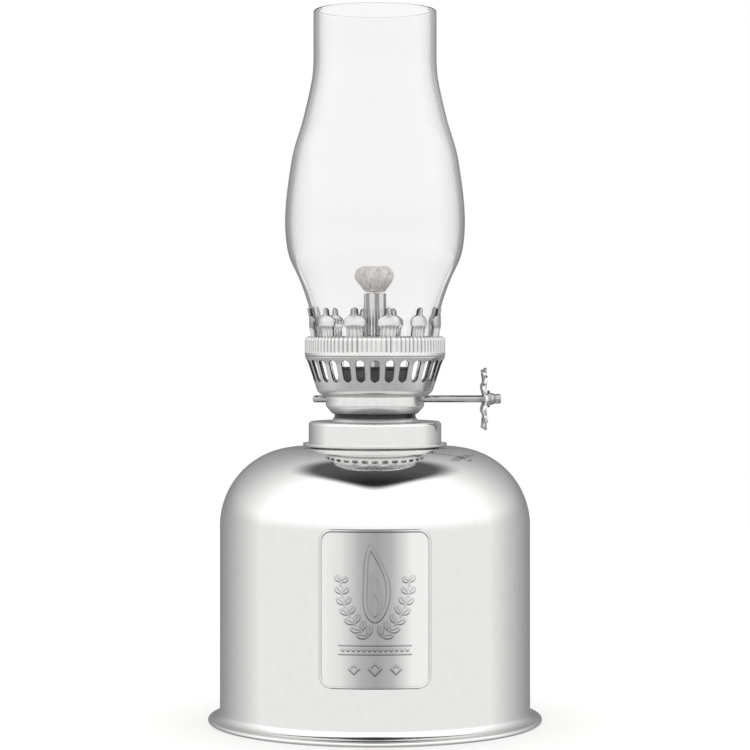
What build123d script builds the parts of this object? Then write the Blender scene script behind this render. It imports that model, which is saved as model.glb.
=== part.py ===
"""Nickel-plated table oil lamp with a glass chimney and a small round-wick burner.

Millimetres, +Z up, origin at the centre of the foot on the table. The lamp's front is -Y and
its winder knob points to +X. The reservoir is the fixed body. The burner screws off the
reservoir's neck, the winder raises the wick and the glass lifts out of its prongs.
"""
from build123d import *
import os
from math import cos, pi, radians, sin, sqrt

os.makedirs("parts", exist_ok=True)

# Clearances
air_gap = 0.3           # between pieces that move past each other
solder_gap = 0.05       # between pieces that are soldered, pressed or crimped together
running_gap = 0.06      # between the winder shaft and its bushes

# Reservoir
tank_radius = 51.6
tank_height = 91.0      # table to the flat top of the dome
dome_flat = 2.6         # flat ring of the dome past the neck's inner flange
tank_sheet = 0.7
foot_flare = 3.1        # how far the foot turns out before its rolled bead
foot_bead = 0.8         # radius of the rolled bead
foot_hem = 1.5          # flat width that stands on the table, inside the bead
pan_recess = 3.2        # table to the base pan
pan_rim = 6.0           # height of the rim that joins the pan to the wall
pan_corner = 1.5

# Front plaque
plaque_width = 36.0
plaque_bottom = 17.6
plaque_over = 2.6       # how far the plaque reaches above the upright wall
plaque_corner = 4.2
plaque_sheet = 0.45
plaque_border = 0.9
plaque_relief = 0.25    # how far the border and the emblem stand proud
plaque_sink = 0.05      # how far the raised layers reach into the plate
emblem_drawn_height = 50.0   # the plaque height that the emblem's points are drawn for

# Screw cap, neck and thread
cap_radius = 22.1
cap_height = 8.3
cap_sheet = 0.7
cap_corner = 1.2
cap_flange = 1.9        # how far the flange reaches past the wall
flange_thickness = 0.75
flange_upturn = 0.4
thread_pitch = 2.5
thread_height = 0.9
thread_root_gap = 0.5   # crest of one thread to the root of the other
thread_base = 1.0       # axial width of a thread ridge at its root
thread_crest = 0.4
thread_bury = 0.2       # how far a ridge reaches into the wall that carries it
thread_start = 1.2      # top of the dome to the middle of the first ridge
neck_turns = 2.0
cap_turns = 1.5
neck_wall = 1.5
neck_flange = 3.0       # inner flange that is soldered under the dome
neck_flange_thickness = 0.6
gasket_thickness = 0.7

# Burner
burner_sheet = 0.5
stub_inset = 2.9               # housing wall to the stub under it
stub_flare = 1.1
stub_flare_rise = 1.4
stub_rounding = 1.5
stub_height = 2.4
housing_gap = 3.7              # cover round the gear to the housing wall
housing_height = 6.4
housing_corner = 2.6
housing_floor_outset = 0.6     # stub to the start of the housing's slanted corner
housing_rounding = [1.0, 1.8]
basket_height = 13.0
basket_swell = 1.9             # housing wall to where the basket's floor and side would meet
basket_splay = 3.5             # how far the side leans out up to the short upper flare
basket_flare = 1.2
basket_flare_height = 2.3
basket_lap = 0.7               # how far the basket's floor reaches in past the housing wall
basket_rounding = [3.0, 4.0]
basket_slots = 28
slot_width = 2.75
slot_base = 4.6                # basket floor to the bottom of the slots
slot_head = 1.2                # top of the slots to the basket's rim
cover_room = 0.7               # gear and its air gap to the cup over it
cover_rise = 9.2               # basket floor to the top of the cup
cover_rounding = 1.2
cover_hole_radius = 0.75
cover_hole_rings = ((0.31, 12), (0.66, 18))   # share of the way out, and number of holes

# Gallery: the ring and the prongs that hold the glass
ring_step = 0.4                # basket's rim to the outside of the ring
ring_height = 6.4
prong_count = 12
prong_phase = -18.0            # angle of one prong from the front
prong_height = 9.6
prong_root_inset = 2.0         # ring's outside to the prongs' roots
prong_waist_height = 5.9       # ring top to where the prongs start to curl out
prong_waist_inset = 1.2
prong_tip_outset = 0.7
prong_root_width = 5.8
prong_shoulder_width = 7.0
prong_head_width = 3.0
seat_rise = 3.3                # ring's lower edge to the ledge under the glass
seat_width = 4.4
seat_foot_gap = 0.4            # ring's lower edge to the seat's lower edge
seat_rounding = 0.8
crown_rounding = [1.5, 0.3, 4.0]

# Wick and wick tube
wick_radius = 3.05
tube_wall = 0.35
tube_rise = 20.8               # basket top to the mouth of the tube
tube_drop = 4.5                # how far the tube reaches below the cap's flange
wick_hang = 5.0                # base pan to the end of the wick
tuft_neck_swell = 0.55         # how much the tuft's neck is thicker than the wick
tuft_swell = 3.75
tuft_height = 9.0
vent_radius = 1.6
vent_room = 1.5                # vent tube to the cover's wall
vent_length = 14.0
vent_drop = 3.0                # how far the vent reaches below the inside of the cap's top
tube_collar_radius = 6.0
tube_collar_height = 1.1

# Winder
shaft_radius = 1.2
shaft_left = -20.9
shaft_right = 41.3
shaft_rounding = 0.7
spur_radius = 4.0
spur_root_radius = 3.1
spur_teeth = 12
spur_thickness = 0.6
spur_spacing = 2.4
spur_tooth_foot = 0.6          # half the width of a tooth at its foot
spur_bite = 0.35               # how far the spurs reach into the wick
spur_run = 1.0                 # spare length at each end of the wick's tracks
window_spare = 0.2             # spare width at each side of the tube's window
wick_travel = 8.0
bush_wall = 0.3
bush_reach = 1.4        # how far the bushes stand out of the housing
collar_radius = 1.75
collar_length = 1.0
knob_face = 35.6
knob_thickness = 2.1
knob_radius = 10.5
knob_lobes = 16
knob_lobe_radius = 1.5
knob_petals = 8
knob_web = 0.6                 # how far the valleys lie past the circle of the lobes' centres
petal_width = 2.0
petal_share = 0.62             # length of a petal as a share of the room for it
eyelet_radius = 0.75
eyelet_inset = 0.9             # circle of the lobes' centres to the eyelets
hub_radius = 2.9
hub_tip_radius = 1.7
hub_length = 2.4
rivet_radius = 1.35
rivet_lobe_radius = 0.6
rivet_lobes = 6
rivet_length = 2.1

# Glass chimney
chimney_height = 111.5
chimney_wall = 1.5
chimney_belly_radius = 30.0
chimney_neck_radius = 20.5
belly_rise = 40.5              # foot of the glass to its widest place
neck_rise = 94.0               # foot of the glass to the start of its straight neck

# Radii that follow, from the axis outwards
cap_bore = cap_radius - cap_sheet
neck_radius = cap_bore - thread_root_gap - thread_height
neck_bore = neck_radius - neck_wall
tank_shoulder = tank_radius - neck_radius - neck_flange - dome_flat
tube_bore = wick_radius + air_gap
tube_radius = tube_bore + tube_wall
shaft_offset = wick_radius - spur_bite + spur_radius    # wick's axis to the shaft's axis
bush_bore = shaft_radius + running_gap
bush_radius = bush_bore + bush_wall
cover_radius = shaft_offset + spur_radius + air_gap + burner_sheet + cover_room
housing_radius = cover_radius + housing_gap + burner_sheet
stub_radius = housing_radius - stub_inset
vent_offset = cover_radius - burner_sheet - vent_radius - vent_room
basket_floor_radius = housing_radius + basket_swell
basket_side_radius = basket_floor_radius + basket_splay
basket_rim_radius = basket_side_radius + basket_flare
ring_radius = basket_rim_radius + ring_step
prong_root = ring_radius - prong_root_inset
prong_waist = ring_radius - prong_waist_inset
prong_tip = ring_radius + prong_tip_outset
chimney_base_radius = prong_root - burner_sheet - air_gap
plaque_height = tank_height - tank_shoulder + plaque_over - plaque_bottom

# Levels that follow
pan_top = pan_recess + tank_sheet
deck = tank_height
cap_flange_level = deck + air_gap
cap_top = cap_flange_level + cap_height
cap_ceiling = cap_top - cap_sheet
gasket_top = cap_ceiling - solder_gap
gasket_bottom = gasket_top - gasket_thickness
neck_top = gasket_bottom - air_gap
stub_bottom = cap_top + solder_gap
housing_bottom = stub_bottom + stub_height
housing_floor = housing_bottom + burner_sheet
basket_bottom = housing_bottom + housing_height
basket_top = basket_bottom + basket_height
ring_bottom = basket_top + solder_gap
ring_top = ring_bottom + ring_height
seat_level = ring_bottom + seat_rise
chimney_bottom = seat_level + air_gap
chimney_top = chimney_bottom + chimney_height
tube_top = basket_top + tube_rise
tube_bottom = cap_flange_level - tube_drop
shaft_level = housing_floor + spur_radius + air_gap

shaft_plane = Plane(origin=(0, shaft_offset, shaft_level), x_dir=(0, 1, 0), z_dir=(1, 0, 0))
front_plane = Plane.XZ         # drawn with +X to the right and +Z up, facing -Y


def radial_planes(count, phase, level):
    """Planes on the lamp's axis that face outwards, the first turned by phase from the front."""
    turns = [radians(phase + 360.0 * k / count - 90.0) for k in range(count)]
    return [Plane(origin=(0, 0, level), x_dir=(-sin(a), cos(a), 0), z_dir=(cos(a), sin(a), 0))
            for a in turns]


def finish_node(piece, node):
    """Name a finished piece and write it as its own node."""
    piece.part.label = node
    export_step(piece.part, "parts/" + node + ".step")


# Reservoir shell: one spun sheet from the hole in the dome to the rolled bead of the foot
foot_edge = tank_radius + foot_flare
with BuildPart() as reservoir_shell:
    with BuildSketch(front_plane):
        with BuildLine():
            dome = Line((neck_radius + solder_gap, deck), (tank_radius - tank_shoulder, deck))
            shoulder = TangentArc(dome @ 1, (tank_radius, deck - tank_shoulder), tangent=dome % 1)
            wall = Line(shoulder @ 1, (tank_radius, foot_flare + 2 * foot_bead))
            flare = TangentArc(wall @ 1, (foot_edge, 2 * foot_bead), tangent=wall % 1)
            bead = TangentArc(flare @ 1, (foot_edge, 0), tangent=flare % 1)
            Line(bead @ 1, (foot_edge - foot_hem, 0))
            offset(amount=tank_sheet, side=Side.RIGHT)
        make_face()
    revolve(axis=Axis.Z)
finish_node(reservoir_shell, "reservoir_shell")

# Base pan: a disc with an upturned rim inside the wall
pan_radius = tank_radius - tank_sheet - solder_gap
with BuildPart() as base_pan:
    with BuildSketch(front_plane):
        with BuildLine():
            FilletPolyline((0, pan_recess), (pan_radius, pan_recess),
                           (pan_radius, pan_recess + pan_rim), radius=pan_corner)
            offset(amount=tank_sheet, side=Side.LEFT)
        make_face()
    revolve(axis=Axis.Z)
finish_node(base_pan, "base_pan")


def thread_ridge(root, crest, bottom, turns):
    """A helical ridge of trapezoid section, from its root radius to its crest radius."""
    outward = 1 if crest > root else -1
    buried = root - thread_bury * outward
    with BuildPart() as ridge:
        with BuildLine():
            path = Helix(pitch=thread_pitch, height=thread_pitch * turns, radius=root,
                         center=(0, 0, bottom))
        section = Plane(origin=(root, 0, bottom), x_dir=(1, 0, 0), z_dir=(0, 1, 0))
        with BuildSketch(section):
            with BuildLine():
                Polyline((buried - root, -thread_base / 2), (buried - root, thread_base / 2),
                         (crest - root, thread_crest / 2), (crest - root, -thread_crest / 2),
                         close=True)
            make_face()
        sweep(path=path, is_frenet=True)
    return ridge.part


# Neck collar: a threaded ring soldered into the dome by its inner flange
neck_flange_top = deck - tank_sheet - solder_gap
neck_thread = thread_ridge(neck_radius, neck_radius + thread_height, deck + thread_start,
                           neck_turns)
with BuildPart() as neck_collar:
    with BuildSketch(front_plane):
        with BuildLine():
            Polyline((neck_bore, neck_flange_top - neck_flange_thickness),
                     (neck_radius + neck_flange, neck_flange_top - neck_flange_thickness),
                     (neck_radius + neck_flange, neck_flange_top),
                     (neck_radius, neck_flange_top), (neck_radius, neck_top),
                     (neck_bore, neck_top), close=True)
        make_face()
    revolve(axis=Axis.Z)
    add(neck_thread)
finish_node(neck_collar, "neck_collar")

# Front plaque: a thin curved plate with a raised border and a flame over a spray of leaves
plaque_inner = tank_radius + solder_gap
plaque_outer = plaque_inner + plaque_sheet
plaque_middle = plaque_bottom + plaque_height / 2
plaque_face = Plane(origin=(0, 0, plaque_middle), x_dir=(1, 0, 0), z_dir=(0, -1, 0))


def curved_layer(inner, outer, outline):
    """A stretch of tube wall around the tank, cut to the outline of a sketch on its front."""
    with BuildPart() as layer:
        with BuildSketch(plaque_face):
            add(outline)
        extrude(amount=2 * outer)
        with BuildSketch(Plane.XY.offset(plaque_bottom)):
            Circle(3 * outer)
            Circle(outer, mode=Mode.SUBTRACT)
        extrude(amount=plaque_height, mode=Mode.SUBTRACT)
        with BuildSketch(Plane.XY.offset(plaque_bottom)):
            Circle(inner)
        extrude(amount=plaque_height, mode=Mode.SUBTRACT)
    return layer.part


with BuildSketch() as plaque_outline:
    RectangleRounded(plaque_width, plaque_height, plaque_corner)
with BuildSketch() as border_outline:
    RectangleRounded(plaque_width, plaque_height, plaque_corner)
    RectangleRounded(plaque_width - 2 * plaque_border, plaque_height - 2 * plaque_border,
                     plaque_corner - plaque_border, mode=Mode.SUBTRACT)
with BuildSketch() as emblem_outline:
    with BuildLine():
        flame_left = Spline((0, 17), (-4.6, 6.5), (-3.6, 0.5), (0, -1.5), tangents=((-0.5, -1), (1, 0)))
        Spline(flame_left @ 1, (3.6, 0.5), (4.6, 6.5), (0, 17), tangents=((1, 0), (-0.5, 1)))
    make_face()
    with Locations((-5.2, -5.6), (5.2, -5.6)):
        Ellipse(4.4, 1.5)
    with Locations((-6.4, -17.5), (0, -17.5), (6.4, -17.5)):
        RegularPolygon(1.9, 4, rotation=45)
    scale(by=plaque_height / emblem_drawn_height)
with BuildPart() as front_plaque:
    add(curved_layer(plaque_inner, plaque_outer, plaque_outline.sketch))
    add(curved_layer(plaque_outer - plaque_sink, plaque_outer + plaque_relief,
                     border_outline.sketch))
    add(curved_layer(plaque_outer - plaque_sink, plaque_outer + plaque_relief,
                     emblem_outline.sketch))
finish_node(front_plaque, "front_plaque")

# Cap gasket: a flat ring that the cap lifts with it but does not turn
with BuildPart() as cap_gasket:
    with BuildSketch(Plane.XY.offset(gasket_bottom)):
        Circle(cap_bore - air_gap)
        Circle(neck_bore - air_gap, mode=Mode.SUBTRACT)
    extrude(amount=gasket_thickness)
finish_node(cap_gasket, "cap_gasket")

# Screw cap: a threaded cup that carries the burner, with a turned-up flange over the dome
cap_thread = thread_ridge(cap_bore, cap_bore - thread_height,
                          deck + thread_start + thread_pitch / 2, cap_turns)
flange_edge = cap_radius + cap_flange
flange_top = cap_flange_level + flange_thickness
with BuildPart() as screw_cap:
    with BuildSketch(front_plane):
        with BuildLine():
            cap_face = Line((tube_radius + solder_gap, cap_top), (cap_radius - cap_corner, cap_top))
            corner = TangentArc(cap_face @ 1, (cap_radius, cap_top - cap_corner),
                                tangent=cap_face % 1)
            Polyline(corner @ 1, (cap_radius, flange_top), (flange_edge - flange_upturn, flange_top),
                     (flange_edge - flange_upturn / 2, flange_top + flange_upturn),
                     (flange_edge, flange_top + flange_upturn / 2),
                     (flange_edge - flange_upturn / 2, cap_flange_level),
                     (cap_bore, cap_flange_level), (cap_bore, cap_ceiling),
                     (tube_radius + solder_gap, cap_ceiling), cap_face @ 0)
        make_face()
    revolve(axis=Axis.Z)
    add(cap_thread)
    with Locations(Plane.XY.offset(cap_top)):
        with Locations((0, -vent_offset)):
            Hole(vent_radius + solder_gap, depth=cap_sheet)
finish_node(screw_cap, "screw_cap")

# Burner foot: the flared stub between the cap and the winder housing
with BuildPart() as burner_foot:
    with BuildSketch(front_plane):
        with BuildLine():
            FilletPolyline((stub_radius + stub_flare, stub_bottom),
                           (stub_radius, stub_bottom + stub_flare_rise),
                           (stub_radius, housing_bottom - solder_gap), radius=stub_rounding)
            offset(amount=burner_sheet, side=Side.LEFT)
        make_face()
    revolve(axis=Axis.Z)
    split(bisect_by=Plane.XY.offset(stub_bottom), keep=Keep.TOP)
finish_node(burner_foot, "burner_foot")

# Winder housing: a shallow cup with the winder's bushes in its wall
with BuildPart() as winder_housing:
    with BuildSketch(front_plane):
        with BuildLine():
            FilletPolyline((tube_radius + solder_gap, housing_bottom),
                           (stub_radius + housing_floor_outset, housing_bottom),
                           (housing_radius, housing_bottom + housing_corner),
                           (housing_radius, basket_bottom - solder_gap), radius=housing_rounding)
            offset(amount=burner_sheet, side=Side.LEFT)
        make_face()
    revolve(axis=Axis.Z)
    with BuildSketch(shaft_plane):
        Circle(bush_radius + solder_gap)
    extrude(amount=housing_radius + 1, both=True, mode=Mode.SUBTRACT)
    with BuildSketch(Plane.XY.offset(housing_bottom)):
        with Locations((0, -vent_offset)):
            Circle(vent_radius + solder_gap)
    extrude(amount=burner_sheet, mode=Mode.SUBTRACT)
finish_node(winder_housing, "winder_housing")

# Shaft bushes: two eyelets where the shaft passes through the housing wall
collar_start = sqrt(cover_radius**2 - (shaft_offset - collar_radius)**2) + air_gap
bush_start = collar_start + collar_length + air_gap
bush_end = sqrt(housing_radius**2 - shaft_offset**2) + bush_reach
with BuildPart() as shaft_bushes:
    for side in (-1, 1):
        with BuildSketch(shaft_plane.offset(side * bush_start)):
            Circle(bush_radius)
            Circle(bush_bore, mode=Mode.SUBTRACT)
        extrude(amount=side * (bush_end - bush_start))
finish_node(shaft_bushes, "shaft_bushes")

# Air basket: a flared bowl with a ring of upright slots, open to the housing below
basket_hole = housing_radius - burner_sheet - basket_lap
slot_height = basket_height - slot_base - slot_head
slot_level = basket_bottom + slot_base + slot_height / 2
with BuildPart() as air_basket:
    with BuildSketch(front_plane):
        with BuildLine():
            FilletPolyline((basket_hole, basket_bottom), (basket_floor_radius, basket_bottom),
                           (basket_side_radius, basket_top - basket_flare_height),
                           (basket_rim_radius, basket_top), radius=basket_rounding)
            offset(amount=burner_sheet, side=Side.LEFT)
        make_face()
    revolve(axis=Axis.Z)
    split(bisect_by=Plane.XY.offset(basket_top), keep=Keep.BOTTOM)
    with BuildSketch(*radial_planes(basket_slots, 0, slot_level)):
        SlotOverall(slot_height, slot_width, rotation=90)
    extrude(amount=ring_radius + 1, mode=Mode.SUBTRACT)
finish_node(air_basket, "air_basket")

# Draught cover: an inner cup over the winding gear, with holes in its top and for the shaft
cover_bottom = housing_floor + solder_gap
cover_top = basket_bottom + cover_rise
with BuildPart() as draught_cover:
    with BuildSketch(front_plane):
        with BuildLine():
            FilletPolyline((tube_radius + solder_gap, cover_top), (cover_radius, cover_top),
                           (cover_radius, cover_bottom), radius=cover_rounding)
            offset(amount=burner_sheet, side=Side.RIGHT)
        make_face()
    revolve(axis=Axis.Z)
    with BuildSketch(Plane.XY.offset(cover_top)):
        for share, count in cover_hole_rings:
            with PolarLocations(tube_radius + share * (cover_radius - tube_radius), count):
                Circle(cover_hole_radius)
    extrude(amount=-burner_sheet, mode=Mode.SUBTRACT)
    with BuildSketch(shaft_plane):
        Circle(shaft_radius + air_gap)
    extrude(amount=cover_radius + 1, both=True, mode=Mode.SUBTRACT)
finish_node(draught_cover, "draught_cover")

# Chimney seat: the ledge inside the ring that the glass stands on
seat_outer = ring_radius - burner_sheet - solder_gap
with BuildPart() as chimney_seat:
    with BuildSketch(front_plane):
        with BuildLine():
            FilletPolyline((seat_outer - seat_width, seat_level), (seat_outer, seat_level),
                           (seat_outer, ring_bottom + seat_foot_gap), radius=seat_rounding)
            offset(amount=burner_sheet, side=Side.RIGHT)
        make_face()
    revolve(axis=Axis.Z)
finish_node(chimney_seat, "chimney_seat")

# Gallery crown: the ring and its twelve prongs, cut and pressed from one sheet
prong_middle = ring_top + prong_height / 2
cut_spare = 1.0                # how far a cut reaches past the sheet
cut_lift = 0.05                # keeps the cut off the top face of the ring
cut_width = 2 * prong_tip * sin(pi / prong_count) + 1.5 * cut_spare
prong_outline = [(prong_root_width / 2, -prong_height),
                 (prong_root_width / 2, -0.15 * prong_height),
                 (prong_shoulder_width / 2, 0),
                 (prong_shoulder_width / 2, 0.14 * prong_height),
                 (prong_head_width / 2, 0.28 * prong_height),
                 (prong_head_width / 2, 0.42 * prong_height)]
with BuildPart() as gallery_crown:
    with BuildSketch(front_plane):
        with BuildLine():
            FilletPolyline((ring_radius, ring_bottom), (ring_radius, ring_top),
                           (prong_root, ring_top), (prong_waist, ring_top + prong_waist_height),
                           (prong_tip, ring_top + prong_height), radius=crown_rounding)
            offset(amount=burner_sheet, side=Side.LEFT)
        make_face()
    revolve(axis=Axis.Z)
    with BuildSketch(*radial_planes(prong_count, prong_phase, prong_middle)):
        with Locations((0, cut_spare / 2 + cut_lift)):
            Rectangle(cut_width, prong_height + cut_spare)
        Polygon((0, -prong_height), *prong_outline, (0, prong_height / 2 - 0.2),
                *[(-x, y) for x, y in reversed(prong_outline)], align=None, mode=Mode.SUBTRACT)
    extrude(amount=prong_tip + cut_spare, mode=Mode.SUBTRACT)
finish_node(gallery_crown, "gallery_crown")

# Wick tube: open at both ends, with one window for the spurs
window_width = spur_spacing + spur_thickness + 2 * (air_gap + window_spare)
with BuildPart() as wick_tube:
    with BuildSketch(Plane.XY.offset(tube_bottom)):
        Circle(tube_radius)
        Circle(tube_bore, mode=Mode.SUBTRACT)
    extrude(amount=tube_top - tube_bottom)
    with BuildSketch(Plane.XZ.offset(-tube_radius - 1)):
        with Locations((0, shaft_level)):
            Rectangle(window_width, 2 * spur_radius)
    extrude(amount=tube_radius, mode=Mode.SUBTRACT)
finish_node(wick_tube, "wick_tube")

# Tube collar: the ring that solders the wick tube to the underside of the cap
with BuildPart() as tube_collar:
    with BuildSketch(Plane.XY.offset(cap_ceiling - solder_gap)):
        Circle(tube_collar_radius)
        Circle(tube_radius + solder_gap, mode=Mode.SUBTRACT)
    extrude(amount=-tube_collar_height)
finish_node(tube_collar, "tube_collar")

# Vent tube: lets air into the reservoir beside the wick tube
with BuildPart() as vent_tube:
    with BuildSketch(Plane.XY.offset(cap_ceiling - vent_drop)):
        with Locations((0, -vent_offset)):
            Circle(vent_radius)
            Circle(vent_radius - tube_wall, mode=Mode.SUBTRACT)
    extrude(amount=vent_length)
finish_node(vent_tube, "vent_tube")

# Wick: a plaited cord that hangs in the oil, with two tracks that the spurs run in
wick_bottom = pan_top + wick_hang
wick_top = tube_top + air_gap
track_depth = spur_bite + air_gap
track_width = spur_thickness + 2 * air_gap
with BuildPart() as wick_cord:
    with BuildSketch(Plane.XY.offset(wick_bottom)):
        Circle(wick_radius)
    extrude(amount=wick_top - wick_bottom)
    with BuildSketch(Plane.XY.offset(shaft_level - spur_radius - wick_travel - spur_run)):
        with Locations((-spur_spacing / 2, wick_radius), (spur_spacing / 2, wick_radius)):
            Rectangle(track_width, 2 * track_depth)
    extrude(amount=2 * (spur_radius + spur_run) + wick_travel, mode=Mode.SUBTRACT)
finish_node(wick_cord, "wick_cord")

# Wick tuft: the loose head of the wick above the mouth of its tube
tuft_bottom = wick_top + solder_gap
tuft_neck_radius = wick_radius + tuft_neck_swell
tuft_radius = wick_radius + tuft_swell
with BuildPart() as wick_tuft:
    with BuildSketch(front_plane):
        with BuildLine():
            Line((0, tuft_bottom), (tuft_neck_radius, tuft_bottom))
            side = Spline((tuft_neck_radius, tuft_bottom),
                          (tuft_neck_radius + 0.5, tuft_bottom + 0.28 * tuft_height),
                          (tuft_radius, tuft_bottom + 0.64 * tuft_height),
                          tangents=((0, 1), (0, 1)))
            Spline(side @ 1, (0, tuft_bottom + tuft_height), tangents=((0, 1), (-1, 0)))
            Line((0, tuft_bottom + tuft_height), (0, tuft_bottom))
        make_face()
    revolve(axis=Axis.Z)
finish_node(wick_tuft, "wick_tuft")

# Winder shaft: a plain rod across the housing, with rounded ends
with BuildPart() as winder_shaft:
    with BuildSketch(shaft_plane.offset(shaft_left)):
        Circle(shaft_radius)
    extrude(amount=shaft_right - shaft_left)
    fillet(winder_shaft.edges().group_by(Axis.X)[0], shaft_rounding)
finish_node(winder_shaft, "winder_shaft")

# Spur wheels: two thin star wheels that grip the wick through the tube's window
with BuildPart() as spur_wheels:
    for side in (-1, 1):
        with BuildSketch(shaft_plane.offset(side * spur_spacing / 2)):
            Circle(spur_root_radius)
            with PolarLocations(spur_root_radius, spur_teeth):
                Polygon((-spur_tooth_foot / 2, -spur_tooth_foot),
                        (spur_radius - spur_root_radius, 0),
                        (-spur_tooth_foot / 2, spur_tooth_foot), align=None)
            Circle(shaft_radius + solder_gap, mode=Mode.SUBTRACT)
        extrude(amount=spur_thickness / 2, both=True)
finish_node(spur_wheels, "spur_wheels")

# Shaft collars: two rings inside the housing that keep the shaft from sliding out
with BuildPart() as shaft_collars:
    for side in (-1, 1):
        with BuildSketch(shaft_plane.offset(side * collar_start)):
            Circle(collar_radius)
            Circle(shaft_radius + solder_gap, mode=Mode.SUBTRACT)
        extrude(amount=side * collar_length)
finish_node(shaft_collars, "shaft_collars")

# Winder knob: a pierced wheel with a scalloped rim
lobe_circle = knob_radius - knob_lobe_radius
petal_circle = (hub_radius + lobe_circle) / 2
with BuildPart() as winder_knob:
    with BuildSketch(shaft_plane.offset(knob_face)):
        Circle(lobe_circle + knob_web)
        with PolarLocations(lobe_circle, knob_lobes):
            Circle(knob_lobe_radius)
        with PolarLocations(petal_circle, knob_petals):
            SlotOverall(petal_share * (lobe_circle - hub_radius), petal_width, mode=Mode.SUBTRACT)
        with PolarLocations(lobe_circle - eyelet_inset, knob_petals, start_angle=180 / knob_petals):
            Circle(eyelet_radius, mode=Mode.SUBTRACT)
        Circle(shaft_radius + solder_gap, mode=Mode.SUBTRACT)
    extrude(amount=knob_thickness)
finish_node(winder_knob, "winder_knob")

# Knob hub: the cone that clamps the knob to the shaft
hub_base = knob_face + knob_thickness + solder_gap
with BuildPart() as knob_hub:
    with BuildSketch(shaft_plane.offset(hub_base)):
        Circle(hub_radius)
    with BuildSketch(shaft_plane.offset(hub_base + hub_length)):
        Circle(hub_tip_radius)
    loft()
    with BuildSketch(shaft_plane.offset(hub_base)):
        Circle(shaft_radius + solder_gap)
    extrude(amount=hub_length, mode=Mode.SUBTRACT)
finish_node(knob_hub, "knob_hub")

# Knob rivet: a small flower-shaped nut on the end of the shaft
rivet_base = hub_base + hub_length + solder_gap
with BuildPart() as knob_rivet:
    with BuildSketch(shaft_plane.offset(rivet_base)):
        Circle(rivet_radius)
        with PolarLocations(rivet_radius, rivet_lobes):
            Circle(rivet_lobe_radius)
    extrude(amount=rivet_length)
    with BuildSketch(shaft_plane.offset(rivet_base)):
        Circle(shaft_radius + solder_gap)
    extrude(amount=shaft_right - rivet_base + solder_gap, mode=Mode.SUBTRACT)
finish_node(knob_rivet, "knob_rivet")

# Glass chimney: a blown tube with a round belly, narrowing to a straight neck
belly_swell = chimney_belly_radius - chimney_base_radius
neck_draw = chimney_belly_radius - chimney_neck_radius
lower_side = [(chimney_base_radius, 0), (chimney_base_radius + 0.08 * belly_swell, 0.23 * belly_rise),
              (chimney_base_radius + 0.42 * belly_swell, 0.5 * belly_rise),
              (chimney_belly_radius - 0.08 * belly_swell, 0.78 * belly_rise),
              (chimney_belly_radius, belly_rise)]
upper_drop = neck_rise - belly_rise
upper_side = [(chimney_belly_radius, belly_rise),
              (chimney_belly_radius - 0.24 * neck_draw, belly_rise + 0.4 * upper_drop),
              (chimney_neck_radius + 0.33 * neck_draw, belly_rise + 0.67 * upper_drop),
              (chimney_neck_radius, neck_rise)]
with BuildPart() as chimney:
    with BuildSketch(front_plane):
        with BuildLine():
            ends = []
            for inset in (0, chimney_wall):
                lower = Spline([(r - inset, chimney_bottom + z) for r, z in lower_side],
                               tangents=((0, 1), (0, 1)))
                upper = Spline([(r - inset, chimney_bottom + z) for r, z in upper_side],
                               tangents=((0, 1), (0, 1)))
                neck = Line(upper @ 1, (chimney_neck_radius - inset, chimney_top))
                ends.append((lower @ 0, neck @ 1))
            for outer_end, inner_end in zip(*ends):
                Line(outer_end, inner_end)
        make_face()
    revolve(axis=Axis.Z)
finish_node(chimney, "chimney")
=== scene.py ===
from math import pi, radians

import bpy
import bmesh
import numpy as np
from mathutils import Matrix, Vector
from mathutils.geometry import delaunay_2d_cdt


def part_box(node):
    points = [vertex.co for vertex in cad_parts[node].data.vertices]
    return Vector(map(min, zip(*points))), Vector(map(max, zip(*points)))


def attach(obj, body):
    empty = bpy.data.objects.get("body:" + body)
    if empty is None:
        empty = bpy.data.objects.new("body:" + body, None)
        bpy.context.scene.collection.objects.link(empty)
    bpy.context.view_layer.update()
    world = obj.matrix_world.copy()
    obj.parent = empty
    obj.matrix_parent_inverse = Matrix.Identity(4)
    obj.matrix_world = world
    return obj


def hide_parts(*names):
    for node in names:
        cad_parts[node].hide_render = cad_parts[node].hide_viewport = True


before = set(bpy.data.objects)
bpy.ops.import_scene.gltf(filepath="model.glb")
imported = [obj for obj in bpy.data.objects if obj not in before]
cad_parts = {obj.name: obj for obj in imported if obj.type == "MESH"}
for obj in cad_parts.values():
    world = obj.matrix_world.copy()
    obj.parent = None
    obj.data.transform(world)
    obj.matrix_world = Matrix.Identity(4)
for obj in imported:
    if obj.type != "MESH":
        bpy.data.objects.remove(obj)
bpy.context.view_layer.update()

bl_info = {
    "name": "Nickel oil lamp",
    "version": (1, 0, 0),
    "blender": (4, 5, 0),
    "location": "3D View > Sidebar > Oil lamp",
    "description": "Makes the visible pieces of a nickel-plated oil lamp around its packed frame",
    "category": "Object",
}

MM = 0.001
SOLDER_GAP = 0.05 * MM


def low(node):
    """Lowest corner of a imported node, in metres."""
    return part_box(node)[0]


def high(node):
    """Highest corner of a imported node, in metres."""
    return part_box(node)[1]


def linear_colour(code):
    """An sRGB hex code as linear red, green, blue and an alpha of 1."""
    parts = np.array([int(code[i:i + 2], 16) for i in (0, 2, 4)]) / 255
    linear = np.where(parts <= 0.04045, parts / 12.92, ((parts + 0.055) / 1.055) ** 2.4)
    return (*linear.tolist(), 1.0)


# ---------------------------------------------------------------------------------------------
# Sizes and colours
# ---------------------------------------------------------------------------------------------

def length(name, default, description):
    """A property that holds a length in metres."""
    return bpy.props.FloatProperty(name=name, description=description, default=default,
                                   unit="LENGTH", subtype="DISTANCE", precision=5)


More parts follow.
